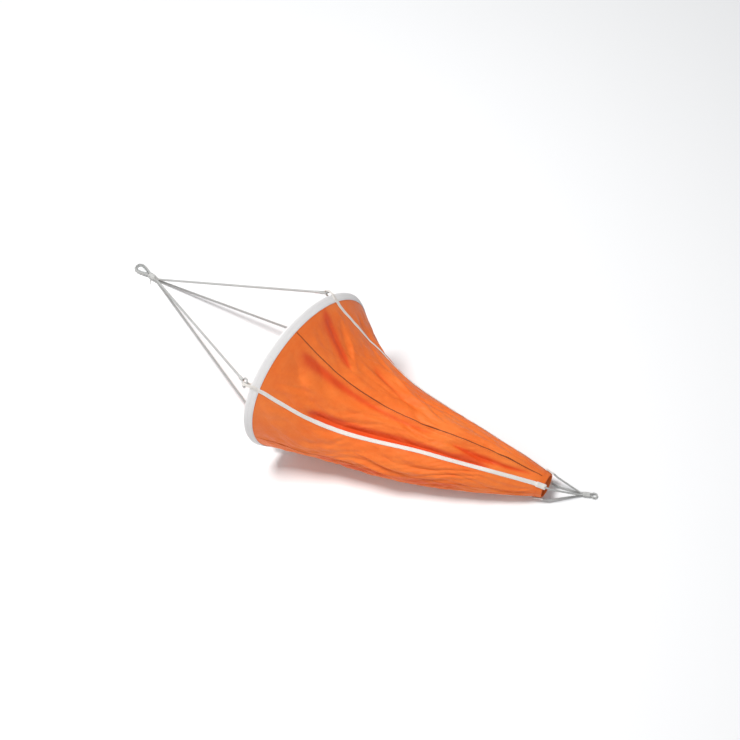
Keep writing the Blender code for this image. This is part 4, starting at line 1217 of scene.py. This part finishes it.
class SEAANCHOR_OT_bridle(bpy.types.Operator):
    """Lays the four bridle legs, each with its spliced eye and its whipping, and seizes them together"""

    bl_idname = "sea_anchor.bridle"
    bl_label = "Bridle"

    def execute(self, context):
        """Laid rope along each leg's line."""
        look = context.scene.sea_anchor_rope
        rope = rope_yarn("bridle rope", look.colour, look.rope_shade_and_soil, 0.0011)
        twine = waxed_twine("whipping twine", [c * 0.92 for c in look.colour], [c * 0.8 for c in look.rope_shade_and_soil])
        back, forward, side = throat()
        middle = back + forward * SEIZING_LONG / 2.0
        half = SEIZING_LONG / 2.0
        wide = thick = SEIZING_RADIUS
        seizing = wound("leg_seizing", middle, forward, side, half, wide, thick, look.twine, twine)
        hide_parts("throat_seizing")
        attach(seizing, "bridle")
        end = self.twine_end(middle, forward, side, twine)
        for k in range(4):
            loop, line = leg_paths(k)
            start, along, over, _ = leg_frame(k)
            at = start + along * (LEG_EYE_LONG + WHIPPING_LONG / 2.0)
            normal = np.cross(along, over)
            eye = laid_rope(f"spliced_eye_{k + 1}", loop, LEG_EYE_RADIUS, rope, normal)
            wrap = wound(f"leg_whipping_{k + 1}", at, along, over, WHIPPING_LONG / 2.0, WHIPPING_WIDE,
                         WHIPPING_THICK, look.twine, twine)
            leg = laid_rope(f"laid_leg_{k + 1}", line, LEG_RADIUS, rope, (0.0, 0.0, 1.0))
            for piece, node in ((eye, "leg_eye"), (wrap, "whipping"), (leg, "bridle_leg")):
                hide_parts(f"{node}_{k + 1}")
            near = start + along * LEG_EYE_LONG
            if k < 2:
                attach(eye, "sock")
                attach(wrap, "sock")
                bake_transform(leg)
            else:
                start + along * 0.002
                near - along * 0.004
                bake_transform(eye)
                near - along * 0.004
                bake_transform(wrap)
                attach(leg, "bridle")
        return {"FINISHED"}

    def twine_end(self, middle, forward, side, twine):
        """The twine's free end: a thin laid cord that leaves the seizing and droops to the floor."""
        out = -side if side[1] > 0 else side
        first = middle + out * (SEIZING_RADIUS - 0.0015)
        low = SHIFT[2] + 0.0012
        route = [first, first + out * 0.004 - forward * 0.002, first + out * 0.009 - forward * 0.006]
        route = np.array(route + [route[-1] + out * 0.006 - forward * 0.008])
        route[1:, 2] = [low + 0.006, low + 0.001, low]
        end = laid_rope("twine_end", smooth_path(route, 0.0005), 0.0010, twine, (0.0, 0.0, 1.0), strands=3)
        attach(end, "bridle")
        return end


class SEAANCHOR_OT_towing_eye(bpy.types.Operator):
    """Bends the towing eye's rope round its thimble"""

    bl_idname = "sea_anchor.towing_eye"
    bl_label = "Towing eye"

    def execute(self, context):
        """The teardrop outline, moved out for the rope, and a gutter carried round it for the thimble."""
        look = context.scene.sea_anchor_rope
        rope = rope_yarn("eye rope", [c * 0.93 for c in look.colour], look.rope_shade_and_soil, 0.0012)
        metal = galvanised("thimble zinc", look.metal)
        front, along, side, through = eye_frame()
        gap, spread = THIMBLE_WALL / 2 + GAP + EYE_ROPE_RADIUS, EYE_ROPE_RADIUS + GAP
        half = np.concatenate([[(-RUN_IN, spread - 0.0004), (0.0009, spread), (0.006, spread + 0.0007)],
                               teardrop(THIMBLE_FROM - 0.0018, gap)])
        flat = both_sides(half)
        path = smooth_path(front + flat[:, :1] * along + flat[:, 1:] * side, 0.0008)
        bight = laid_rope("eye_bight", path, EYE_ROPE_RADIUS, rope, through)
        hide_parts("towing_eye")
        front + along * 0.012
        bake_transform(bight)
        thimble = self.thimble(front, along, side, through, metal)
        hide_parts("towing_thimble")
        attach(thimble, "eye")
        return {"FINISHED"}

    def thimble(self, front, along, side, through, metal):
        """The gutter: a shallow hollow outside, flat inside, its lips rounded, carried round the teardrop."""
        flat = both_sides(teardrop(THIMBLE_FROM, 0.0))
        path = smooth_path(np.concatenate([flat, 0.0 * flat[:, :1]], -1), 0.0008)[:, :2]
        step = unit(np.gradient(path, axis=0))
        out = np.stack([-step[:, 1], step[:, 0]], -1)
        wall, high = THIMBLE_WALL / 2.0, THIMBLE_HIGH / 2.0
        t = np.linspace(-1.0, 1.0, 17)
        hollow = wall + 0.0020 * np.abs(t) ** 2.6
        lip = np.array([[wall + 0.0016, 1.0], [wall * 0.2, 1.0], [-wall * 0.8, 0.97]])
        inner = np.stack([np.full(9, -wall), np.linspace(0.90, -0.90, 9)], -1)
        section = np.concatenate([np.stack([hollow, t * 0.96], -1), lip, inner, lip[::-1] * [1.0, -1.0]])
        u = path[:, None, 0] + out[:, None, 0] * section[None, :, 0]
        v = path[:, None, 1] + out[:, None, 1] * section[None, :, 0]
        z = np.broadcast_to(section[None, :, 1] * high, u.shape)
        rings = front + u[..., None] * along + v[..., None] * side + z[..., None] * through
        gone = np.repeat(np.arange(len(path))[:, None] * 0.0008, section.shape[0], 1)
        round_it = np.repeat(np.linspace(0.0, 0.026, section.shape[0])[None, :], len(path), 0)
        return skin("zinc_thimble", rings, metal, uv=(gone, round_it, 0.001, 0.0), sharp=50.0)


class SEAANCHOR_OT_tail(bpy.types.Operator):
    """Lays the four tail cords, their whipping and the bight behind it"""

    bl_idname = "sea_anchor.tail"
    bl_label = "Tail cords"

    def execute(self, context):
        """Laid cords from the pads to one whipping."""
        look = context.scene.sea_anchor_rope
        rope = rope_yarn("tail cord", [min(1.0, c * 1.06) for c in look.colour], look.rope_shade_and_soil, 0.0009)
        twine = waxed_twine("tail twine", [c * 0.95 for c in look.colour], [c * 0.8 for c in look.rope_shade_and_soil])
        front, back, side = tail_frame()
        half, wide = TAIL_WHIPPING_LONG / 2.0, TAIL_WHIPPING_RADIUS
        wrap = wound("tail_binding", front + back * half, back, side, half, wide, wide, look.twine, twine)
        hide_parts("tail_whipping")
        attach(wrap, "tail")
        rear = front + back * TAIL_WHIPPING_LONG
        w, n = TAIL_LOOP_WIDE, TAIL_LOOP_LONG - CORD_RADIUS
        arm = [(-RUN_IN, 0.5 * w), (0.0013, 0.5 * w), (0.16 * n, 0.54 * w), (0.4 * n, 0.86 * w)]
        arm += [(0.65 * n, w), (0.89 * n, 0.7 * w)]
        route = arm + [(n, 0.0)] + [(u, -v) for u, v in arm[::-1]]
        drop = (TAIL_WHIPPING_RADIUS - CORD_RADIUS) / n
        bend = [rear + back * u + side * v - np.array([0.0, 0.0, drop * max(u, 0.0)]) for u, v in route]
        bight = laid_rope("tail_bight", smooth_path(bend, 0.0006), CORD_RADIUS, rope, (0.0, 0.0, 1.0))
        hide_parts("tail_loop")
        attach(bight, "tail")
        for k in range(4):
            line = cord_path(k)
            cord = laid_rope(f"laid_cord_{k + 1}", line, CORD_RADIUS, rope, side)
            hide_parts(f"tail_cord_{k + 1}")
            first = line[8]
            reach = line[-1] if k < 2 else first + unit(line[30] - first) * 0.022
            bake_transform(cord)
        return {"FINISHED"}


class SEAANCHOR_OT_studio(bpy.types.Operator):
    """Sets out the floor, the soft lights and the camera"""

    bl_idname = "sea_anchor.studio"
    bl_label = "Studio"

    def execute(self, context):
        """A wide floor, one soft light above and behind, one beside the camera, and a pale sky."""
        look = context.scene.sea_anchor_studio
        scene = context.scene
        t = np.linspace(0.0, 2.0 * np.pi, 64, endpoint=False)
        rim = np.stack([np.cos(t) * 30.0, np.sin(t) * 30.0, 0.0 * t], -1)
        mesh = bpy.data.meshes.new("floor")
        mesh.from_pydata(rim.tolist(), [], [list(range(64))])
        mesh.materials.append(studio_floor("pale floor", look.floor))
        floor = bpy.data.objects.new("floor", mesh)
        scene.collection.objects.link(floor)
        self.lamp(scene, "light_above", (-1.30, -0.65, 5.0), look.key, 1.3)
        self.lamp(scene, "light_by_camera", (1.9, -2.9, 2.9), look.fill, 2.6)
        world = bpy.data.worlds.new("pale sky")
        world.use_nodes = True
        world.node_tree.nodes["Background"].inputs["Color"].default_value = (0.95, 0.97, 1.0, 1.0)
        world.node_tree.nodes["Background"].inputs["Strength"].default_value = 0.42
        scene.world = world
        scene.view_settings.view_transform = "Standard"
        back = Vector((0.25, -0.4330127, 0.8660254))
        camera = bpy.data.objects.new("camera", bpy.data.cameras.new("camera"))
        camera.location = Vector((0.1164, 0.1006, 0.2866)) + back * look.distance
        camera.rotation_euler = (-back).to_track_quat("-Z", "Y").to_euler()
        camera.data.lens = 81.7
        camera.data.sensor_width = 36.0
        camera.data.shift_y = 0.0068
        scene.collection.objects.link(camera)
        scene.camera = camera
        return {"FINISHED"}

    def lamp(self, scene, name, place, power, wide):
        """A square soft light turned to the middle of the object."""
        data = bpy.data.lights.new(name, "AREA")
        data.energy, data.size = power, wide
        made = bpy.data.objects.new(name, data)
        made.location = place
        aim = Vector((0.05, 0.05, 0.1)) - Vector(place)
        made.rotation_euler = aim.to_track_quat("-Z", "Y").to_euler()
        scene.collection.objects.link(made)


PIECES = (
    SEAANCHOR_OT_cloth,
    SEAANCHOR_OT_seams,
    SEAANCHOR_OT_rim,
    SEAANCHOR_OT_hem,
    SEAANCHOR_OT_tapes,
    SEAANCHOR_OT_beckets,
    SEAANCHOR_OT_bridle,
    SEAANCHOR_OT_towing_eye,
    SEAANCHOR_OT_tail,
    SEAANCHOR_OT_studio,
)


class SEAANCHOR_PT_panel(bpy.types.Panel):
    """Sizes, colours and steps of the sea anchor"""

    bl_label = "Sea anchor"
    bl_idname = "SEAANCHOR_PT_panel"
    bl_space_type = "VIEW_3D"
    bl_region_type = "UI"
    bl_category = "Sea anchor"

    def draw(self, context):
        """Each group's settings, then a button for each step."""
        for group in GROUPS:
            settings = getattr(context.scene, group)
            for name in settings.bl_rna.properties.keys():
                if name not in ("rna_type", "name"):
                    self.layout.prop(settings, name)
        for piece in PIECES:
            self.layout.operator(piece.bl_idname)


GROUPS = {
    "sea_anchor_cloth": ClothSettings,
    "sea_anchor_webbing": WebbingSettings,
    "sea_anchor_rope": RopeSettings,
    "sea_anchor_studio": StudioSettings,
}


def register():
    """Registers the settings, the steps and the panel."""
    for name, group in GROUPS.items():
        bpy.utils.register_class(group)
        setattr(bpy.types.Scene, name, bpy.props.PointerProperty(type=group))
    for piece in PIECES + (SEAANCHOR_PT_panel,):
        bpy.utils.register_class(piece)


def unregister():
    """Takes them away again."""
    for piece in (SEAANCHOR_PT_panel,) + PIECES[::-1]:
        bpy.utils.unregister_class(piece)
    for name, group in GROUPS.items():
        delattr(bpy.types.Scene, name)
        bpy.utils.unregister_class(group)


def main():
    """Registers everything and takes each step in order."""
    register()
    for piece in PIECES:
        group, step = piece.bl_idname.split(".")
        getattr(getattr(bpy.ops, group), step)()


if __name__ == "__main__":
    main()
